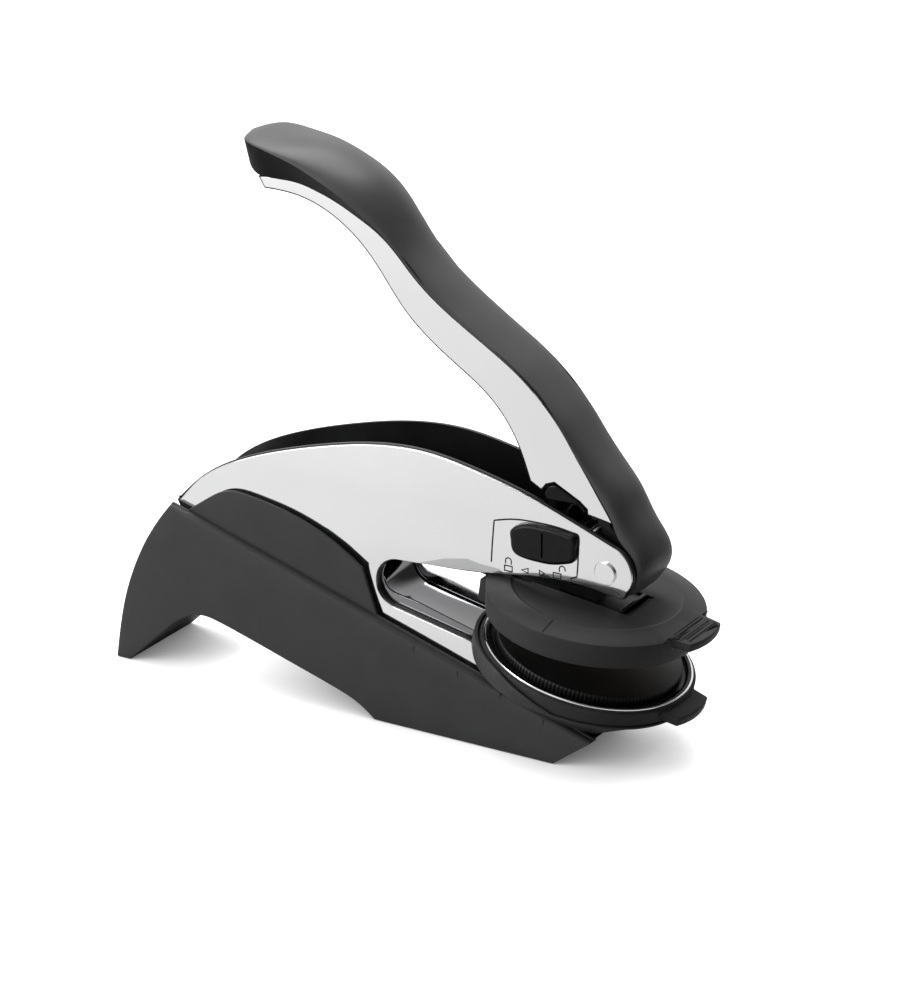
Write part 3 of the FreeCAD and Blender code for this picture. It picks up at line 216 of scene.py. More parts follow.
def finished(name, verts, faces, material, body, slot, instead=(), sharp=32.0, second=None):
    """Object from vertices in millimetres and faces: doubles merged, faces turned outwards where
    the mesh is closed, smooth shading except over edges sharper than an angle. Second gives
    another material, and a 1 for each of the first faces that takes it."""
    mesh = bpy.data.meshes.new(name)
    mesh.from_pydata((np.asarray(verts) * MM).tolist(), [], faces)
    mesh.materials.append(material)
    if second:
        mesh.materials.append(second[0])
        takes = np.pad(np.asarray(second[1], np.int32), (0, len(faces) - len(second[1])))
        mesh.polygons.foreach_set("material_index", takes)
    work = bmesh.new()
    work.from_mesh(mesh)
    bmesh.ops.remove_doubles(work, verts=work.verts, dist=1e-6)
    bmesh.ops.dissolve_degenerate(work, edges=work.edges, dist=1e-6)
    bmesh.ops.recalc_face_normals(work, faces=work.faces)
    work.to_mesh(mesh)
    work.free()
    mesh.validate()
    mesh.set_sharp_from_angle(angle=math.radians(sharp))
    piece = bpy.data.objects.new(name, mesh)
    bpy.context.scene.collection.objects.link(piece)
    if body:
        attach(piece, body)
    if instead:
        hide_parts(*instead)
    return piece


def lengths(line):
    """Distance along a line at each of its points."""
    return np.concatenate(([0], np.cumsum(np.hypot(*np.diff(line, axis=0).T))))


def natural(knots, values, at):
    """Natural cubics through rows of values at knots. The second derivatives come from the usual
    tridiagonal system."""
    chord, n = np.diff(knots), len(knots)
    system, load = np.zeros((n, n)), np.zeros((n, values.shape[1]))
    system[0, 0] = system[-1, -1] = 1
    inner = np.arange(1, n - 1)
    system[inner, inner - 1], system[inner, inner + 1] = chord[:-1], chord[1:]
    system[inner, inner] = 2 * (chord[:-1] + chord[1:])
    load[1:-1] = 6 * np.diff(np.diff(values, axis=0) / chord[:, None], axis=0)
    bend = np.linalg.solve(system, load)
    k = np.clip(np.searchsorted(knots, at, side="right") - 1, 0, n - 2)
    h, a, b = (row[:, None] for row in (chord[k], knots[k + 1] - at, at - knots[k]))
    return ((bend[k] * a ** 3 + bend[k + 1] * b ** 3) / (6 * h)
            + (values[k] / h - bend[k] * h / 6) * a + (values[k + 1] / h - bend[k + 1] * h / 6) * b)


def spline(points, step):
    """Smooth line through side-view points: natural cubics in the chord length, read at a step."""
    points = np.asarray(points, float)
    length = lengths(points)
    return natural(length, points, np.linspace(0, length[-1], max(2, int(round(length[-1] / step)) + 1)))


def run(*parts):
    """One line from several runs of points, without repeats where they meet."""
    line = np.concatenate([np.atleast_2d(np.asarray(part, float)) for part in parts])
    keep = np.concatenate(([True], np.hypot(*np.diff(line, axis=0).T) > 1e-6))
    return line[keep]


def divided(line, step):
    """The same line with points at most a step apart, corners kept."""
    line = np.asarray(line, float)
    parts = [line[:1]]
    for a, b in zip(line[:-1], line[1:]):
        count = max(1, int(math.ceil(math.dist(a, b) / step)))
        parts.append(a + (b - a) * (np.arange(1, count + 1) / count)[:, None])
    return np.concatenate(parts)


def ring_faces(rows, columns):
    """Quads between neighbouring rings, each ring joined from its last point to its first."""
    r, c = np.meshgrid(np.arange(rows - 1), np.arange(columns), indexing="ij")
    d = (c + 1) % columns
    return np.stack((r * columns + c, r * columns + d, (r + 1) * columns + d,
                     (r + 1) * columns + c), -1).reshape(-1, 4).tolist()


def tube_faces(rows, columns):
    """Quads between rings, and a face across each end."""
    ends = [list(range(columns))[::-1], [(rows - 1) * columns + i for i in range(columns)]]
    return ring_faces(rows, columns) + ends


def symmetrical_tube(low, top, half, share):
    """Closed tube of cross-sections. Each row of a half section runs from the middle out and back,
    as a width and a share of the way from a low point to a top one, and the other side mirrors it."""
    y = np.concatenate((half, -half[:, -2:0:-1]), 1)
    share = np.concatenate((share, share[:, -2:0:-1]), 1)
    x, z = (low[:, i:i + 1] + (top - low)[:, i:i + 1] * share for i in (0, 1))
    return np.stack((x, -y, z), -1).reshape(-1, 3), tube_faces(*y.shape)


def crease_height(x):
    """Height of the crease at a place along the base: a straight line falling forwards."""
    return FRONT_TOP[1] + (FRONT_TOP[0] - x) * CREASE_SLOPE


def side_width(x, z):
    """Half-width of the lower side: from the floor's to the crease's in proportion to the height,
    both widening a little towards the front."""
    share = (x - FOOT_BACK + 5.0) / (FRONT_TOP[0] + 5.0 - (FOOT_BACK - 5.0))
    at_floor, at_crease = 15.1 + 1.3 * share, 14.3 + 0.6 * share
    return at_floor + (at_crease - at_floor) * np.clip(z / (crease_height(x) - CREASE_TUCK), 0, 1)


def base_moulding():
    """Section carried from the rear foot to the front. Each station runs from the bottom, past the
    crease, to the top edge; across it the section goes from the bottom's middle out to a rounded
    corner, up the drafted side, in over the crease to the panel, round the panel's edge, and down
    into the groove beside the frame."""
    bottom = run((FOOT_FRONT, SOLE),
                 spline([(-90.9, 13.9), (-84.5, 17.5), (-80.7, 18.1), (-76.4, 17.4), (-64.5, 14.1),
                         (-51.6, 10.3), (-38.8, 6.5), (-31.1, 3.5), (-26.2, SOLE)], 1.0),
                 (28.4, SOLE))
    crest = run(spline([(FOOT_BACK, SOLE), (-107.1, 19.1), (-101.6, 33.3), (-95.0, 44.3),
                        (-91.8, 48.4)], 1.0),
                (-87.0, 47.0),
                spline([(-87.0, 47.0), (-80.6, 51.6), (-74.0, 55.1), (-66.5, 55.0), (-57.0, 53.3),
                        (-48.5, 50.8), (-37.7, 45.7), (-31.5, 41.6)], 1.0),
                (-27.0, 29.0), (6.7, 18.5), FRONT_TOP)
    # stations: a place on the bottom line and the place on the crest that it goes up to
    ties = np.array([
        ((FOOT_FRONT, SOLE), (FOOT_BACK, SOLE)), ((-101.5, 4.0), (-109.7, 8.0)),
        ((-97.5, 7.9), (-107.9, 16.0)),
        ((-94.0, 11.0), (-105.0, 25.5)), ((-91.5, 13.3), (-101.6, 33.3)), ((-89.5, 15.0), (-97.5, 40.6)),
        ((-87.0, 16.5), (-91.8, 48.4)), ((-84.0, 17.7), (-87.0, 47.0)), ((-80.0, 18.1), (-80.6, 51.6)),
        ((-76.0, 17.3), (-74.0, 55.1)), ((-70.0, 15.7), (-66.5, 55.0)), ((-62.0, 13.2), (-57.0, 53.3)),
        ((-54.0, 10.9), (-48.5, 50.8)), ((-45.0, 8.1), (-37.7, 45.7)), ((-40.5, 6.6), (-31.5, 41.6)),
        ((-36.0, 5.0), (-27.0, 29.0)), ((-31.5, 3.2), (-22.0, 27.4)), ((-26.2, SOLE), (-15.0, 25.2)),
        ((0.0, SOLE), (6.7, 18.5)), ((28.4, SOLE), FRONT_TOP)])

    def at_stations(line, spots, t):
        """Points of a line at station numbers; whole numbers fall nearest to the given spots."""
        fine = divided(line, 0.1)
        length = lengths(fine)
        near = np.hypot(fine[None, :, 0] - spots[:, 0:1], fine[None, :, 1] - spots[:, 1:2])
        at = np.interp(t, np.arange(len(spots)), length[near.argmin(1)])
        return np.stack([np.interp(at, length, fine[:, i]) for i in (0, 1)], 1)

    t = np.arange(8 * (len(ties) - 1) + 1) / 8
    low, top = at_stations(bottom, ties[:, 0], t), at_stations(crest, ties[:, 1], t)
    span = np.hypot(*(top - low).T)

    # where each station crosses the crease, as a distance from the bottom; the leg has no panel
    gap_low, gap_top = low[:, 1] - crease_height(low[:, 0]), top[:, 1] - crease_height(top[:, 0])
    gap = np.where(np.abs(gap_top - gap_low) < 1e-9, 1, gap_top - gap_low)
    cross = np.where(gap_top > 0, span * np.clip(-gap_low / gap, 0, 1), span)
    panel = np.clip((low[:, 0] - LEG_FRONT) / 5.0, 0, 1)
    cross = cross * panel + span * (1 - panel)

    def side_at(distance):
        """Half-width of the lower side at a distance up the stations."""
        spot = low + (top - low) * (distance / span)[:, None]
        return side_width(spot[:, 0], spot[:, 1])

    corner, edge, groove, depth, half_panel = 0.35, 0.3, 12.1, 3.0, 12.8
    bend = np.radians(np.linspace(0, 90, 6))
    rows = [(np.zeros_like(span), np.zeros_like(span))]
    for angle in bend:
        h = np.full_like(span, corner * (1 - math.cos(angle)))
        rows.append((side_at(h) - corner * (1 - math.sin(angle)), h))
    under_crease = np.maximum(cross - CREASE_TUCK, corner)
    for part in (0.25, 0.5, 0.75, 1.0):
        h = corner + (under_crease - corner) * part
        rows.append((side_at(h), h))
    ledge = side_at(under_crease) - half_panel
    flat = half_panel + ledge * (1 - (0.3 + 0.7 * panel))
    for step_in, rise in ((0.06, -0.95), (0.3, -0.4), (0.75, 0.0), (1.22, 0.2), (1.22, 0.6), (1.0, 1.0)):
        h = np.minimum(cross + rise, span - edge)
        rows.append((half_panel + ledge - (half_panel + ledge - flat) * step_in, h))
    crown = np.maximum(cross + 1.0, span - edge)
    for part in (0.5, 1.0):
        rows.append((flat, np.minimum(cross + 1.0 + (crown - cross - 1.0) * part, span - edge)))
    for angle in bend[1:]:
        rows.append((flat - edge * (1 - math.cos(angle)), span - edge * (1 - math.sin(angle))))
    inside = np.where(panel > 0.5, groove, flat - edge)
    sunk = np.clip((low[:, 0] + 88.5) / 1.0, 0, 1) * np.clip(span / 12.0, 0, 1)
    rows += [(inside, span), (inside - 0.1 * panel, span - depth * sunk),
             (np.zeros_like(span), span - depth * sunk)]
    half, rise = (np.stack([row[i] for row in rows], 1) for i in (0, 1))
    return symmetrical_tube(low, top, half, rise / span[:, None])


charcoal = plastic("charcoal_plastic", (0.046, 0.046, 0.047), 0.52, grain=1400.0, depth=0.00004,
                   specular=0.22)
finished("base_moulding", *base_moulding(), charcoal, "base", "base_plastic", ["base_shell"])


# Side marks: four short upright ribs on each lower side, just under the crease. They are moulded
# with the base, sunk into its wall and barely proud of it.
SIDES = ((-1, "right"), (1, "left"))
TICKS = ((-14.55, 22.8), (-1.1, 18.6), (11.8, 15.2), (24.7, 10.5))
TICK_HALF_WIDTH, TICK_HALF_HEIGHT, TICK_ROOT, TICK_PROUD = 0.16, 0.8, 0.4, 0.12
BOX_FACES = [[0, 3, 2, 1], [4, 5, 6, 7], [0, 1, 5, 4], [1, 2, 6, 5], [2, 3, 7, 6], [3, 0, 4, 7]]
for index, (x, z) in enumerate(TICKS):
    for side, name in SIDES:
        y = side * (side_width(x, z) - np.array([TICK_ROOT, TICK_ROOT, -TICK_PROUD, -TICK_PROUD]))
        across = x + TICK_HALF_WIDTH * np.array([-1, 1, 1, -1])
        tick = [np.column_stack((across, y, np.full(4, z + rise)))
                for rise in (-TICK_HALF_HEIGHT, TICK_HALF_HEIGHT)]
        finished("side_mark_%s_%d" % (name, index), np.concatenate(tick), BOX_FACES, charcoal, "base",
                 "base_plastic")


# Foot pads: soft black rubber, one let into the front block and one into the rear foot. Rubber
# shows dull, dusty in patches and finely pebbled.
def dressed(material, *names):
    """The CAD nodes take this material in every slot."""
    for name in names:
        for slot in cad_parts[name].material_slots:
            slot.material = material


rubber = plastic("pad_rubber", (0.030, 0.030, 0.031), 0.82, grain=2600.0, depth=0.00005, mottle=0.25,
                 spread=0.08, specular=0.25, sheen=0.15)
dressed(rubber, "foot_pad_front", "foot_pad_rear")


# Rods, screws and hinge pin: bright turned steel. The rods hold the frame's plates apart, the
# screws come up into them from below, and the arm turns on the pin.
def metal(name, colour, roughness, grain=700.0, depth=0.000004, mottle=0.04, spread=0.03):
    """Metal: a slow cloud in the gloss, and faint marks as bump."""
    return clouded(name, colour, roughness, grain, depth, mottle, spread, (45.0, 4.0), (2.0, 0.5),
                   Metallic=1.0)


steel = metal("bright_steel", (0.62, 0.62, 0.63), 0.22, grain=900.0, depth=0.00002)
dressed(steel, "base_screws", "tie_rods", "arm_hinge_pin")


# Frame: two black steel plates, cut from sheet, that stand in the base, with a gloss black liner
# between them. At the rear their edges stand a little out of the covers and show as a dark line.
PIVOT, HUB = np.array((40.5, 54.3)), 7.8
THROAT, THROAT_RADIUS, THROAT_END = np.array((-21.4, 38.4)), 6.6, 258.2
LOWER = (np.array((30.0, 26.4)), math.radians(14.06))
JAW_BACK, JAW_TOP, JAW_FALL = -28.4, -6.7, math.tan(math.radians(11.8))
PLATE_OUTER, PLATE_INNER = 10.08, 9.22


def tilted(u, y, w, frame_place):
    """Points drawn about a die's axis, put in place: tilted about Y and moved to its centre."""
    (x0, z0), tilt = frame_place
    return np.stack((x0 + u * math.cos(tilt) + w * math.sin(tilt), y + 0 * u,
                     z0 - u * math.sin(tilt) + w * math.cos(tilt)), -1).reshape(-1, 3)


def lower_spot(u, w):
    """Side-view place ahead of and above the lower die's centre, along its tilted axes."""
    return tilted(u, 0, w, LOWER)[0, [0, 2]]


def on_circle(centre, radius, degrees):
    """Point of the side view at a distance and a direction from a centre."""
    angle = math.radians(degrees)
    return np.array((centre[0] + radius * math.cos(angle), centre[1] + radius * math.sin(angle)))


def arc(centre, radius, start, stop, step=0.6):
    """Points on a circle between two directions in degrees."""
    count = max(3, int(abs(math.radians(stop - start)) * radius / step) + 1)
    angle = np.radians(np.linspace(start, stop, count))
    return np.stack((centre[0] + radius * np.cos(angle), centre[1] + radius * np.sin(angle)), 1)


def inset(loop, distance):
    """Closed loop moved to its left by a distance, with mitred corners."""
    distance = np.reshape(distance, (-1, 1))
    edge = np.roll(loop, -1, 0) - loop
    edge = edge / np.maximum(np.hypot(*edge.T), 1e-12)[:, None]
    side = np.stack((-edge[:, 1], edge[:, 0]), 1)
    before = np.roll(side, 1, 0)
    lean = 1 + (side * before).sum(1)
    return loop + distance * (side + before) / np.maximum(lean, 0.35)[:, None]


def leftward(loop):
    """The loop in the direction that turns left, in which its signed area is positive."""
    loop = np.asarray(loop, float)
    ahead = np.roll(loop, -1, 0)
    return loop if (loop[:, 0] * ahead[:, 1] - loop[:, 1] * ahead[:, 0]).sum() > 0 else loop[::-1]


def slab(outline, near, far, near_edge, far_edge, windows=(), engraved=(), depth=0.3, band=None):
    """Flat plate of any outline: a wall between two heights whose edges are rounded by quarter
    circles, with a flat face filled in at each end. Windows are loops cut right through. Each
    engraving is a loop sunk into the near face, with or without an island in it. A band gives, for
    each point of the outline, the width over which the near face falls away to the edge, at a
    slope. The outline lies in the side view, and the heights are along Y."""
    toward, band_slope, flat_lip = 1.0 if far > near else -1.0, 0.15, 0.06
    bend = np.radians(np.linspace(90, 0, 5))
    wall = [(near_edge + flat_lip, near)] if near_edge else []
    wall += [(near_edge * (1 - math.cos(a)), near + toward * near_edge * (1 - math.sin(a))) for a in bend]
    wall += [(far_edge * (1 - math.cos(a)), far - toward * far_edge * (1 - math.sin(a)))
             for a in bend[::-1]]
    wall += [(far_edge + flat_lip, far)] if far_edge else []
    rim = wall
    if band is not None:
        sink = toward * band_slope * band
        rim = [(near_edge + band, near)]
        rim += [(d, h + sink * (abs(h - far) - far_edge > 0.01)) for d, h in wall[1:]]
    points, faces, start = [], [], 0

    def ring_wall(loop, side, shape):
        """Wall carried round a loop; returns its first and last rings with their first numbers."""
        nonlocal start
        loop = leftward(loop)
        rings = [np.column_stack((inset(loop, side * d), h + np.zeros(len(loop)))) for d, h in shape]
        points.extend(rings)
        faces.extend((np.array(ring_faces(len(rings), len(loop))) + start).tolist())
        first, last = (rings[0], start), (rings[-1], start + (len(rings) - 1) * len(loop))
        start += len(rings) * len(loop)
        return first, last

    def fill(*rings):
        """Triangles that fill the first ring, less the others."""
        lookup = np.concatenate([np.arange(len(ring)) + first for ring, first in rings])
        flat = [[Vector((p[0], p[1], 0)) for p in ring] for ring, _ in rings]
        faces.extend([[int(lookup[i]) for i in triangle] for triangle in tessellate_polygon(flat)])

    through = [ring_wall(loop, 1.0 if index == 0 else -1.0, rim if index == 0 else wall)
               for index, loop in enumerate([outline, *windows])]
    sunk = [(0.0, near), (0.05, near + toward * depth)]
    marks = []
    for loops in engraved:
        outer = ring_wall(loops[0], 1.0, sunk)
        inner = [ring_wall(loop, -1.0, sunk) for loop in loops[1:]]
        marks.append(outer[0])
        fill(outer[1], *[ring[1] for ring in inner])
        for ring in inner:
            fill(ring[0])
    fill(*[ring[0] for ring in through], *marks)
    fill(*[ring[1] for ring in through])
    return np.concatenate(points)[:, [0, 2, 1]], faces


def plate(name, material, body, slot, instead, *shape, second=None, **details):
    """Slab of a shape as a finished piece."""
    finished(name, *slab(*shape, **details), material, body, slot, instead, second=second)


def frame_outline():
    """Hump over the channel, nose round the pivot, underside of the upper jaw, round end of the
    throat, lower jaw, and the hidden edge down in the base."""
    hump = [(-92.0, 48.4), (-83.5, 56.9), (-67.7, 65.7), (-46.6, 72.6), (-30.0, 76.3), (-13.5, 77.3),
            (2.0, 75.0), (18.0, 70.9), (31.5, 66.1), on_circle(PIVOT, HUB, 68)]
    nose_low = [on_circle(PIVOT, r, d) for r, d in ((HUB, -38), (8.2, -50), (7.6, -62))]
    jaw_start = on_circle(THROAT, THROAT_RADIUS, THROAT_END)
    jaw_end = lower_spot(JAW_BACK, JAW_TOP)
    jaw_run = jaw_end[0] - 0.6 - jaw_start[0]
    return run(spline(hump, 1.2), arc(PIVOT, HUB, 68, -38), spline(nose_low, 0.5),
               spline([nose_low[-1], (31.7, 49.3), (17.8, 48.5), (3.5, 46.5), (-9.0, 45.6),
                       THROAT + (0, THROAT_RADIUS)], 1.2),
               arc(THROAT, THROAT_RADIUS, 90, THROAT_END),
               (jaw_end[0] - 0.6, jaw_start[1] - jaw_run * JAW_FALL), jaw_end,
               lower_spot(8.5, JAW_TOP), (34.8, 10.8), (27.0, 5.2), (-24.0, 5.2), (-52.0, 14.0),
               (-78.0, 22.5))


black_steel = plastic("black_steel", (0.010, 0.010, 0.011), 0.30, grain=500.0, depth=0.00001,
                      specular=0.3, coat=0.2)
frame_line = divided(frame_outline(), 2.0)
for side, name in SIDES:
    plate("frame_plate_" + name, black_steel, "base", "black_steel", ["frame_plate_" + name],
          frame_line, side * PLATE_OUTER, side * PLATE_INNER, 0.1, 0.1)
gloss_black = plastic("gloss_black", (0.006, 0.006, 0.007), 0.20, grain=300.0, depth=0.000006,
                      mottle=0.1, spread=0.04, specular=0.16)
dressed(gloss_black, "channel_liner")


# Throat liner: a saddle of polished black metal between the plates, with a wall along each side
# that stands over the jaws and runs up round the throat's rear end.
def saddle():
    """Section carried round the throat's rear end and along the jaws: a flat floor that curves up
    into a wall at each side, whose top is rounded. Heights are measured square to the throat."""
    outer, inner, reach, below = 9.12, 8.3, 0.25, -1.15
    front = lower_spot(JAW_BACK, JAW_TOP)[0] - 0.8
    start = on_circle(THROAT, THROAT_RADIUS, THROAT_END)
    jaw = [start, (front, start[1] - (front - start[0]) * JAW_FALL)]
    line = run(arc(THROAT, THROAT_RADIUS, 140, THROAT_END, 0.5), divided(jaw, 1.0))
    ahead = np.gradient(line, axis=0)
    ahead /= np.hypot(*ahead.T)[:, None]
    inward = np.stack((-ahead[:, 1], ahead[:, 0]), 1)
    length = lengths(line)
    rim = np.interp(length, [0, 6, 12, 19, length[-1]], [0.25, 1.2, 2.6, 3.0, 2.1])
    half = [(0.0, 0.0), (inner - reach, 0.0)]
    half += [(inner - reach + reach * math.sin(a), 0.35 * (1 - math.cos(a)))
             for a in np.radians(np.linspace(0, 90, 6))[1:]]
    half += [(inner, 0.93)]
    half += [((inner + outer) / 2 - (outer - inner) / 2 * math.cos(a), 0.94 + 0.06 * math.sin(a))
             for a in np.radians(np.linspace(0, 180, 7))]
    half = np.array(half + [(outer, 0.5), (outer, 0.0)])
    under = np.full((len(line), 2), below)
    y = np.repeat([[*half[:, 0], outer, 0.0]], len(line), 0)
    h = np.concatenate((rim[:, None] * half[None, :, 1], under), 1)
    return symmetrical_tube(line, line + inward, y, h)


dark_mirror = metal("polished_black", (0.20, 0.20, 0.205), 0.10, grain=300.0, spread=0.02)
finished("throat_saddle", *saddle(), dark_mirror, "base", "gloss_black", ["throat_liner"], sharp=50.0)


# Covers: pressed sheet, chromed, one on each side of the frame. The upper jaw's lower edge is rolled, and
# its rolled band takes a darker chrome that paints the shade it reflects. The right-hand cover has a slot
# for the lock and sunk marks round it, filled with black as painted shade.
chrome = metal("chrome", (0.68, 0.68, 0.685), 0.07, grain=260.0, depth=0.000002, mottle=0.015,
               spread=0.02)
# darker chrome for the rolled band: painted shade, standing for the dim floor that the band reflects
band_shade_chrome = metal("chrome_band_painted_shade", (0.45, 0.45, 0.455), 0.20, grain=400.0)
# black fill for the sunk marks: painted shade in their grooves
mark_shade_fill = plastic("mark_painted_shade", (0.02, 0.02, 0.02), 0.5, grain=1500.0, specular=0.2)
COVER_OUTER, COVER_INNER, MARK_DEPTH = 11.0, 10.1, 0.28
SHADE_FILL_TOP, SHADE_FILL_FOOT, SHADE_FILL_GAP = 10.93, 10.75, 0.03
LINE, FINE_LINE, ARROW_LINE = 0.45, 0.36, 0.32
RECESS = run(spline([(6.9, 50.6), (7.2, 56.0), (7.7, 62.3)], 0.8),
             spline([(7.7, 62.3), (13.3, 63.7), (20.1, 64.2), (26.8, 64.0), (32.2, 63.1)], 0.8),
             spline([(32.2, 63.1), (32.5, 57.0), (32.2, 51.6)], 0.8), (30.2, 50.7))
LOCK_PIN, LOCK_TRAVEL, SLOT_RADIUS = np.array((25.0, 59.0)), 5.0, 1.7


def stroke(line, width):
    """Closed loop round an open line at half a width on each side."""
    line = np.asarray(line, float)
    ahead = np.gradient(line, axis=0)
    side = np.stack((-ahead[:, 1], ahead[:, 0]), 1) / np.hypot(*ahead.T)[:, None] * width / 2
    return np.concatenate((line + side, (line - side)[::-1]))


def outlined(loop, width):
    """Loop with the island left when a line of a width is sunk just inside it."""
    loop = leftward(loop)
    return [loop, inset(loop, width)]


def padlock(x, z, swing):
    """Padlock mark: a boxed body, and a shackle that swings aside when open."""
    body = [(x - 1.3, z), (x + 1.3, z), (x + 1.3, z + 1.8), (x - 1.3, z + 1.8)]
    shackle = run((x + swing - 0.85, z + 2.1), arc((x + swing, z + 3.0), 0.85, 180, 0, 0.3),
                  (x + swing + 0.85, z + (2.6 if swing else 2.1)))
    return [outlined(body, FINE_LINE), [stroke(shackle, FINE_LINE)]]


MARKS = [[stroke(RECESS, LINE)], *padlock(12.0, 48.9, 0.0), *padlock(26.4, 49.8, 1.5),
         outlined([(15.6, 50.2), (18.0, 49.4), (18.0, 51.2)], ARROW_LINE),
         outlined([(23.1, 50.6), (21.0, 51.4), (21.2, 49.4)], ARROW_LINE)]
PIN_RING = outlined(arc(PIVOT, 3.3, 0, 352, 0.4), FINE_LINE)
LOCK_SLOT = run(arc(LOCK_PIN + (LOCK_TRAVEL, 0), SLOT_RADIUS, -90, 90, 0.5),
                arc(LOCK_PIN, SLOT_RADIUS, 90, 270, 0.5))
# the covers' edge lies inside the plates', and draws back further behind and below
cover_line = inset(leftward(frame_line), 0.28)
rear = np.clip((-84.0 - cover_line[:, 0]) / 8.0, 0, 1)
cover_line = cover_line + np.column_stack((rear * 0.8, np.where(cover_line[:, 1] < 49.0, rear * 1.6, 0)))
# width of the rolled band along the upper jaw's edge; there is none under the marks
under_jaw = (cover_line[:, 1] < 51.5) & (cover_line[:, 1] > 43.5) & (cover_line[:, 0] > -16.0)
jaw_band = np.where(under_jaw, np.interp(cover_line[:, 0], [-15, -7, 0, 3.5, 9.5, 10.5, 33, 37, 42, 45.5],
                                         [0.0, 2.4, 3.3, 2.3, 1.3, 0.0, 0.0, 1.0, 1.3, 0.0]), 0.0)
# faces of the rolled band, which take the darker chrome as painted shade
shade_band_faces = (jaw_band > 0) | (np.roll(jaw_band, -1) > 0)
for side, name in SIDES:
    plate("side_cover_" + name, chrome, "base", "chrome", ["side_cover_" + name],
          cover_line, side * COVER_OUTER, side * COVER_INNER, 0.3, 0.1,
          windows=[LOCK_SLOT] if side < 0 else [], engraved=[PIN_RING] + (MARKS if side < 0 else []),
          depth=MARK_DEPTH, band=jaw_band, second=(band_shade_chrome, shade_band_faces))
# a black fill in each sunk mark, as painted shade
for index, (mark, *islands) in enumerate(MARKS):
    plate("cover_mark_%d" % index, mark_shade_fill, "base", "inner_plastic", [],
          inset(leftward(mark), SHADE_FILL_GAP), -SHADE_FILL_TOP, -SHADE_FILL_FOOT, 0.0, 0.0,
          windows=[inset(leftward(island), -SHADE_FILL_GAP) for island in islands])


# Pivot: a chromed pin riveted through the covers and the plates, on flanged bushes of black
# plastic. The handle turns on it.
inner_plastic = plastic("inner_plastic", (0.008, 0.008, 0.009), 0.30, grain=900.0, specular=0.14)
dressed(chrome, "pivot_pin")
dressed(inner_plastic, "pivot_bushes")


# Nest: the keel that the lower die sits in, moulded in one with the base, in the same charcoal
# plastic. Its lip is cut away in front, where the die pulls out.
def keel():
    """Turned surface round the lower die's axis. The lip is full height behind and runs out
    towards the front; below it the wall draws in, in a shallow curve, from the die's circle to a
    rounded rectangle of power 4 that the base meets."""
    seat, shoulder, fall, shift_back = -4.9, -5.6, 10.4, -6.2
    half_length, half_width, start_radius = 19.0, 12.8, 28.3
    around = np.radians(np.arange(0, 360, 3.0))
    c, s = np.cos(around), np.sin(around)
    lip = np.clip((6.0 - 29.0 * c) / 18.0, 0, 1) ** 0.8
    top = seat + 4.3 * lip
    outside = 28.9 + 1.5 * np.clip(lip * 1.4, 0, 1)
    power = (np.abs(c) ** 4 / half_length ** 4 + np.abs(s) ** 4 / half_width ** 4) ** -0.25
    even = np.ones_like(c)
    rings = [(0 * even, seat * even), (28.7 * even, seat * even),
             (np.minimum(29.3, outside - 0.05), np.minimum(top - 0.02, seat + 0.5)),
             (np.minimum(29.3, outside - 0.05), top - 0.25), (np.minimum(29.5, outside - 0.02), top),
             (outside - 0.25, top), (outside, top - 0.3), (outside, np.minimum(top - 0.5, -4.2)),
             (outside - 0.5, shoulder * even)]
    for part in np.linspace(0.1, 1.0, 10):
        shape = power * part + start_radius * (1 - part)
        rings.append((np.minimum(outside - 0.5, shape), (shoulder - fall * part) * even))
    rings.append((0 * even, (shoulder - fall) * even))
    r, w = (np.stack([ring[i] for ring in rings]) for i in (0, 1))
    shift = np.clip((shoulder - w) / fall, 0, 1) * shift_back
    return tilted(r * c + shift, r * s, w, LOWER), ring_faces(len(rings), len(c))


finished("nest", *keel(), charcoal, "base", "base_plastic", ["die_nest"], sharp=40.0)


# Lower die: a round black holder with a front tab, a bright ring let into its rim, and a raised
# face with a ribbed wall. It pulls out of the nest to the front.
die_black = plastic("die_plastic", (0.050, 0.050, 0.051), 0.44, grain=1500.0, depth=0.00003,
                    specular=0.08)
face_black = plastic("die_face_plastic", (0.006, 0.006, 0.007), 0.45, grain=900.0, specular=0.3)
trim = metal("bright_trim", (0.78, 0.78, 0.79), 0.12, grain=500.0)
RIBS, RIB_HEIGHT = 144, 0.14


def softened(piece, width):
    """The piece with its edges rounded by a bevel."""
    bevel = piece.modifiers.new("rounded_edges", "BEVEL")
    bevel.width, bevel.segments, bevel.use_clamp_overlap = width * MM, 3, False
    bevel.limit_method, bevel.angle_limit = "ANGLE", math.radians(28)
    bevel.harden_normals = True


def eased(name, node, material, body, width):
    """Merged copy of a solid with its sharp edges rounded, shown in place of it."""
    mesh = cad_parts[node].data.copy()
    mesh.name = name
    work = bmesh.new()
    work.from_mesh(mesh)
    bmesh.ops.remove_doubles(work, verts=work.verts, dist=2e-6)
    bmesh.ops.recalc_face_normals(work, faces=work.faces)
    bmesh.ops.dissolve_limit(work, angle_limit=math.radians(0.5), verts=work.verts, edges=work.edges)
    work.to_mesh(mesh)
    work.free()
    mesh.materials.clear()
    mesh.materials.append(material)
    mesh.shade_smooth()
    piece = bpy.data.objects.new(name, mesh)
    bpy.context.scene.collection.objects.link(piece)
    softened(piece, width)
    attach(piece, body)
    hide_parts(node)


def turned(profile, frame_place, count=180, ribs=0, rib=0.0, rib_rows=()):
    """Profile of (radius, height) points turned about a die's axis; on some rows the radius
    follows a rounded square wave, as fine upright ribs."""
    around = np.linspace(0, 2 * math.pi, count, endpoint=False)
    r, w = (np.repeat(column[:, None], count, 1) for column in np.array(profile, float).T)
    for row in rib_rows:
        r[row] += rib * np.clip(1.8 * np.cos(ribs * around), -1, 1)
    return (tilted(r * np.cos(around), r * np.sin(around), w, frame_place),
            ring_faces(len(profile), count))


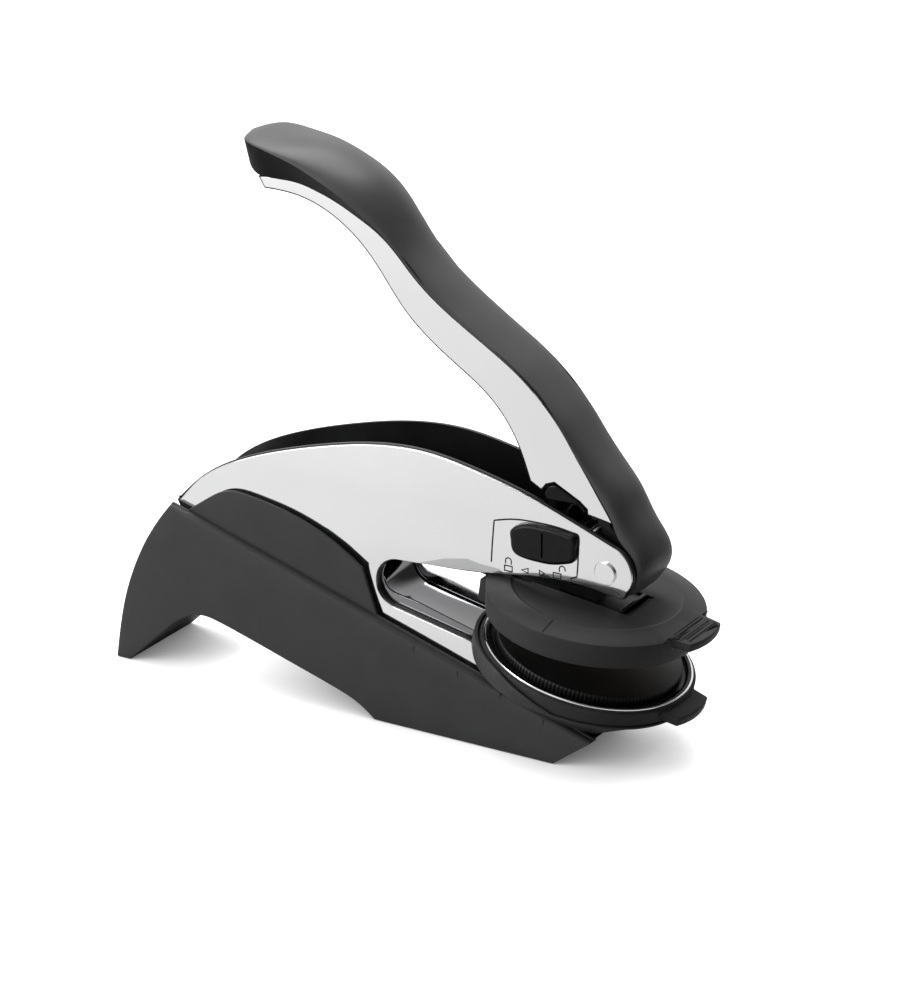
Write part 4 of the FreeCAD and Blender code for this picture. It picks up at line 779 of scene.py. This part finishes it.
eased("lower_holder", "lower_die_holder", die_black, "lower_die", 0.35)
finished("rim_trim", *turned([(27.45, -0.35), (27.45, 0.0), (27.55, 0.13), (27.75, 0.18), (27.95, 0.13),
                              (28.05, 0.0), (28.05, -0.35), (27.45, -0.35)], LOWER), trim,
         "lower_die", "bright_trim", ["lower_rim_ring"], sharp=60.0)
finished("rim_channel", *turned([(27.3, -0.31), (27.3, -0.05), (27.1, 0.05), (26.75, 0.0), (26.6, -0.2),
                                 (26.5, -1.0), (26.2, -1.15), (25.3, -1.15), (25.3, -1.19), (26.5, -1.19),
                                 (27.3, -0.31)], LOWER), gloss_black, "lower_die", "gloss_black",
         sharp=60.0)
finished("lower_face", *turned([(0, -1.19), (24.8, -1.19), (24.8, -0.8), (24.8, 1.1), (24.5, 1.5),
                                (24.0, 1.6), (0, 1.6)], LOWER, 5 * RIBS, RIBS, RIB_HEIGHT, (2, 3)),
         face_black, "lower_die", "die_face_plastic", ["lower_die_insert"])


# Upper die: a shallow black cap with a raised rim band, a tab with bars, a way for the arm's plate
# and a short line on its cone behind. Its face is brass.
UPPER, UPPER_RADIUS = (np.array((32.0, 42.6)), math.radians(7.52)), 29.0
CONE_RISE, CONE_RUN, MARK_START, MARK_END, MARK_HALF = 1.7, 6.4, -28.7, -23.4, 0.2
brass = metal("die_face_brass", (0.20, 0.15, 0.075), 0.42, grain=500.0, depth=0.00002)
eased("upper_holder", "upper_die_holder", die_black, "upper_die", 0.3)
ends = np.array([MARK_START, MARK_START, MARK_END, MARK_END])
cone = CONE_RISE * (UPPER_RADIUS + ends) / CONE_RUN
across = MARK_HALF * np.array([-1, 1, 1, -1])
mark = tilted(np.tile(across, 2), np.tile(ends, 2), np.concatenate((cone - 0.3, cone + 0.03)), UPPER)
finished("upper_mark", mark, BOX_FACES, inner_plastic, "upper_die", "die_plastic")
dressed(brass, "upper_die_insert")


# Arm: black, from the rear hinge to the plate that the upper die slides onto. A small clip stands
# on the plate, and a hardened pad lies under the cam's roller.
CLIP_PLAN, CLIP_HEIGHTS = ((10.2, -6.7), (11.4, -6.7), (11.4, 6.7), (10.2, 6.7)), (0.2, 1.9)
clip = np.array([(u, y, w) for w in CLIP_HEIGHTS for u, y in CLIP_PLAN])
eased("arm", "die_arm", inner_plastic, "die_arm", 0.4)
softened(finished("arm_clip", tilted(*clip.T, UPPER), BOX_FACES, gloss_black, "die_arm", "die_plastic"),
         0.3)
dressed(inner_plastic, "wear_pad")


# Return spring: coiled bright steel wire between the arm's tail and its seat under the channel. Its foot
# goes with the arm and its head with the seat; here it is built once, at rest, and sits on no body.
SPRING_X, SPRING_RADIUS, WIRE, TURNS, HELD = -50.0, 3.4, 0.5, 5, 0.8
spring_foot, spring_head = (corner[2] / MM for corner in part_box("return_spring"))


def coil():
    """Circle of wire carried along a helix: the centre turns evenly about the axis as it rises, and
    the circle lies across the direction of travel."""
    turn = np.linspace(0, 2 * math.pi * TURNS, 40 * TURNS + 1)[:, None]
    rise = (spring_head - spring_foot - 2 * WIRE) / turn[-1, 0]
    outward = np.concatenate((np.cos(turn), np.sin(turn), 0 * turn), 1)
    ahead = np.concatenate((-SPRING_RADIUS * np.sin(turn), SPRING_RADIUS * np.cos(turn),
                            rise + 0 * turn), 1) / math.hypot(SPRING_RADIUS, rise)
    across = np.cross(ahead, outward)
    centre = SPRING_RADIUS * outward + np.concatenate((SPRING_X + 0 * turn, 0 * turn,
                                                       spring_foot + WIRE + rise * turn), 1)
    round_wire = np.linspace(0, 2 * math.pi, 10, endpoint=False)[None, :, None]
    verts = (centre[:, None] + WIRE * np.cos(round_wire) * outward[:, None]
             + WIRE * np.sin(round_wire) * across[:, None])
    return verts.reshape(-1, 3), tube_faces(*verts.shape[:2])


spring = finished("spring", *coil(), steel, None, "bright_steel", ["return_spring"])
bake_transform(spring)
dressed(inner_plastic, "spring_seat")


# Press cam: a black finger under the handle's pivot, with a bright steel roller on a pin at its
# end. It swings with the handle and pushes the arm down.
dressed(inner_plastic, "press_cam")
dressed(steel, "roller_pin", "cam_roller")


# Lock: a black slider on the right-hand cover, with a line across its middle. It carries a steel
# cross pin through the cover's slot.
SLIDER_TOP, SLIDER_FOOT, SLIDER_EDGE = 12.9, 11.1, 1.1
GROOVE, GROOVE_WIDTH, GROOVE_DEPTH = [(22.9, 55.6), (22.9, 59.3), (22.9, 62.4)], 0.55, 0.6
SLIDER = np.array([(13.1, 60.9), (13.2, 58.8), (13.5, 56.4), (14.3, 55.1), (15.8, 54.35), (18.1, 53.95),
                   (21.1, 53.8), (24.0, 53.8), (27.0, 54.2), (29.9, 55.0), (31.5, 55.7), (32.1, 56.8),
                   (32.3, 59.3), (32.35, 61.9), (31.9, 62.9), (30.4, 63.3), (27.5, 63.65), (24.6, 63.9),
                   (21.65, 63.9), (18.7, 63.8), (15.8, 63.05), (14.0, 62.0)])


def closed_curve(points, step):
    """Smooth closed loop: a spline that runs on past both ends of the points, cut where it passes
    the first point and where it comes back to it."""
    loop = spline(np.concatenate((points[-5:], points, points[:6])), step)
    away = np.hypot(*(loop - points[0]).T)
    first = int(away[:len(loop) // 2].argmin())
    return loop[first:first + 5 + int(away[first + 5:].argmin())]


plate("lock_slider", inner_plastic, "lock", "inner_plastic", ["lock_button"],
      closed_curve(SLIDER, 0.5), -SLIDER_TOP, -SLIDER_FOOT, SLIDER_EDGE, 0.0,
      engraved=[[stroke(GROOVE, GROOVE_WIDTH)]], depth=GROOVE_DEPTH)
dressed(steel, "lock_pin")


# Catch: a black block across the handle's channel. Its mouth opens forwards and takes the lock's
# pin when the handle is down; its back and corners are rounded.
TRAVEL = math.radians(37.5)


def by_the_pin(offsets):
    """Places given from the locked pin with the handle closed, turned up to rest."""
    spot = np.asarray(offsets, float) + LOCK_PIN - PIVOT
    c, s = math.cos(TRAVEL), math.sin(TRAVEL)
    return PIVOT + np.stack((c * spot[:, 0] + s * spot[:, 1], -s * spot[:, 0] + c * spot[:, 1]), 1)


def blunted(loop, reach):
    """Closed loop whose corners are cut back by a reach and rounded by quadratic curves."""
    before, after = np.roll(loop, 1, 0) - loop, np.roll(loop, -1, 0) - loop
    room = 0.45 * np.minimum(np.hypot(*before.T), np.hypot(*after.T))
    reach = np.minimum(reach, room)[:, None]
    start = loop + before / np.hypot(*before.T)[:, None] * reach
    stop = loop + after / np.hypot(*after.T)[:, None] * reach
    t = np.linspace(0, 1, 6)[None, :, None]
    curve = (1 - t) ** 2 * start[:, None] + 2 * t * (1 - t) * loop[:, None] + t ** 2 * stop[:, None]
    return curve.reshape(-1, 2)

CATCH = by_the_pin([(-11.1, -0.3), (-9.8, 1.5), (-2.0, 3.0), (0.4, 3.0), (1.4, 1.9), (-2.4, 1.9),
                    (-2.4, -1.9), (2.0, -1.9), (2.0, -4.4), (-6.5, -5.0), (-10.4, -3.3)])
CATCH_HALF = 8.85
catch_black = plastic("catch_black", (0.004, 0.004, 0.0045), 0.22, grain=600.0, specular=0.14)
plate("catch", catch_black, "handle", "inner_plastic", ["handle_catch"],
      blunted(CATCH, 1.2), -CATCH_HALF, CATCH_HALF, 0.7, 0.7)


# Handle channel: chromed sheet along each side of the handle, with a black moulded core in it, and a
# black sheet inside each side that stands out past the chrome's edge as a painted dark outline. Its lower
# edge is notched round the catch.
CHANNEL_OUTER, CHANNEL_INNER = 8.9, 8.42
# black sheet inside each chrome side, reaching past its edge all round: painted shade along the chrome's
# edge
SHADE_LINE_OUTER, SHADE_LINE_INNER, SHADE_LINE_PROUD = 8.84, 7.92, 0.28
TOP_EDGE = [(-64.7, 143.3), (-55.1, 144.1), (-41.1, 140.7), (-27.3, 133.6), (-10.2, 117.9),
            (6.7, 107.3), (20.2, 96.7), (30.0, 84.4), (41.5, 66.9)]
LOW_EDGE = [(17.0, 74.2), (13.3, 83.6), (5.4, 94.3), (-6.8, 103.0), (-20.5, 114.1), (-30.2, 126.4),
            (-39.8, 134.7), (-53.0, 139.8), (-62.8, 140.3)]
NOTCH = by_the_pin([(-11.4, -2.6), (-11.4, -0.3), (-10.1, 1.8), (-2.0, 3.3), (0.7, 3.3), (1.7, 2.2)])
channel_line = leftward(divided(run(spline(TOP_EDGE, 1.5), NOTCH[::-1], spline(LOW_EDGE, 1.5)), 3.0))
for side, name in SIDES:
    plate("channel_" + name, chrome, "handle", "chrome", ["handle_channel"] if side < 0 else [],
          inset(channel_line, SHADE_LINE_PROUD), side * CHANNEL_OUTER, side * CHANNEL_INNER, 0.2, 0.0)
    # the black sheet shows only as a thin rim past the chrome, a painted dark line
    plate("channel_shade_line_" + name, inner_plastic, "handle", "inner_plastic", [],
          channel_line, side * SHADE_LINE_OUTER, side * SHADE_LINE_INNER, 0.1, 0.1)
dressed(inner_plastic, "handle_core")


# Grip: soft-touch plastic cap, crowned and wide at the hand end, narrowing along the channel and wrapping
# the hub at the nose. Its flat underside and flare take a near-black copy of the plastic, as painted
# shade.
HALF_HANDLE, NOSE_RADIUS, SLIM = 8.9, 7.62, 0.10
IN_FRAME, TIP_LENGTH, OVERHANG = 62.0, 6.0, 0.2


def grip_stations():
    """Foot, crown, half-width of the foot, share of the height at the widest line, half-width. Past
    the palm the sides are straight; round the nose each foot lies on the hub's circle."""
    full = HALF_HANDLE
    palm = [((-71.5, 150.4), (-71.5, 153.0), 1.6, 0.38, 2.8),
            ((-70.4, 148.0), (-70.4, 153.4), 4.4, 0.70, 6.2),
            ((-68.6, 145.8), (-68.6, 153.7), 6.8, 0.84, 9.0),
            ((-66.0, 144.0), (-66.0, 153.6), 8.2, 0.86, 10.8),
            ((-61.5, 143.4), (-61.5, 153.2), full, 0.82, 11.7),
            ((-57.0, 143.4), (-57.0, 152.9), full, 0.74, 12.1),
            ((-52.5, 143.2), (-52.0, 152.5), full, 0.63, 12.2),
            ((-46.2, 141.7), (-45.2, 151.2), full, 0.48, 12.1),
            ((-39.9, 139.4), (-37.9, 148.4), full, 0.39, 11.8),
            ((-34.5, 136.8), (-31.5, 144.7), full, 0.28, 11.0),
            ((-28.7, 133.6), (-26.2, 138.6), full, 0.21, 9.9),
            ((-23.4, 129.3), (-21.9, 131.8), full, 0.14, 9.0)]
    shaft = [((-17.4, 123.1), (-16.0, 125.1)), ((-10.5, 117.4), (-9.1, 119.5)),
             ((-2.0, 111.9), (-0.9, 113.5)), ((6.4, 106.8), (7.2, 107.9)), ((13.2, 102.2), (13.9, 103.0)),
             ((19.8, 96.3), (20.5, 97.0)), ((25.2, 90.4), (26.1, 91.1)), ((29.5, 84.1), (31.0, 85.1)),
             ((34.5, 76.8), (37.2, 78.5)), ((38.4, 71.0), (41.8, 73.3)), ((40.6, 67.6), (44.2, 69.0)),
             ((42.6, 63.0), (47.1, 64.9))]
    nose = [(38, (49.8, 60.3)), (18, (50.7, 57.3)), (-8, (50.0, 53.0)), (-30, (48.3, 50.4)),
            (-47, (46.9, 48.2))]
    shaft += [(on_circle(PIVOT, NOSE_RADIUS, degrees), crown) for degrees, crown in nose]
    return palm + [(foot, crown, full, SLIM, full) for foot, crown in shaft]


def grip_surface():
    """Sections along the handle: a flat foot, a straight flare to the widest line, then a crown that is a
    superellipse, of power 1.8 over the palm and 2.6 towards the nose. The stations are joined by smooth
    cubics. Also gives a 1 for each face of the underside and flare, the faces painted in shade."""
    table = np.array([[*foot, *crown, half, share, wide]
                      for foot, crown, half, share, wide in grip_stations()])
    reach = lengths((table[:, 0:2] + table[:, 2:4]) / 2)
    steps = np.unique(np.concatenate([np.linspace(a, b, 5) for a, b in zip(reach[:-1], reach[1:])]))
    smooth = natural(reach, table, steps)
    foot, crown, (foot_half, share, wide) = smooth[:, 0:2], smooth[:, 2:4], smooth[:, 4:7].T
    phi = np.radians(np.linspace(0, 90, 14))[None, :]
    power = 2 / np.interp(steps, [0, 10, 30, 75, 130, steps[-1]], [2.4, 1.9, 1.8, 2.2, 2.6, 2.6])[:, None]
    across, rise = np.cos(phi) ** power, np.sin(phi) ** power
    across[:, -1] = 0.0
    # between the tip and the frame's plates the cap is a little wider than the channel
    off_frame = OVERHANG * np.clip((steps[-1] - IN_FRAME - steps) / 10.0, 0, 1)
    off_frame *= np.clip((steps - TIP_LENGTH) / 4.0, 0, 1)
    foot_half, wide = foot_half + off_frame, wide + off_frame * (wide < HALF_HANDLE + 0.5)
    half = np.concatenate((np.zeros((len(steps), 1)), foot_half[:, None] * 0.5, foot_half[:, None],
                           (foot_half + wide)[:, None] / 2, wide[:, None] * across), 1)
    height = np.concatenate((np.zeros((len(steps), 3)), share[:, None] / 2,
                             share[:, None] + (1 - share[:, None]) * rise), 1)
    points, faces = symmetrical_tube(foot, crown, half, height)
    # 1 on the faces of the foot and the flare, which take the painted shade
    low = np.zeros(2 * half.shape[1] - 2, int)
    low[:4] = low[-4:] = 1
    return points, faces, np.tile(low, len(steps) - 1)


grip_skin = plastic("grip_plastic", (0.078, 0.078, 0.079), 0.42, grain=1600.0, depth=0.00003,
                    specular=0.22, sheen=0.1)
# near-black copy of the grip plastic for the underside and flare: painted shade
grip_underside_shade = plastic("grip_underside_painted_shade", (0.006, 0.006, 0.007), 0.45, grain=1200.0, specular=0.06)
points, faces, under = grip_surface()
finished("grip", points, faces, grip_skin, "handle", "grip_plastic", ["handle_grip"], sharp=38.0,
         second=(grip_underside_shade, under))
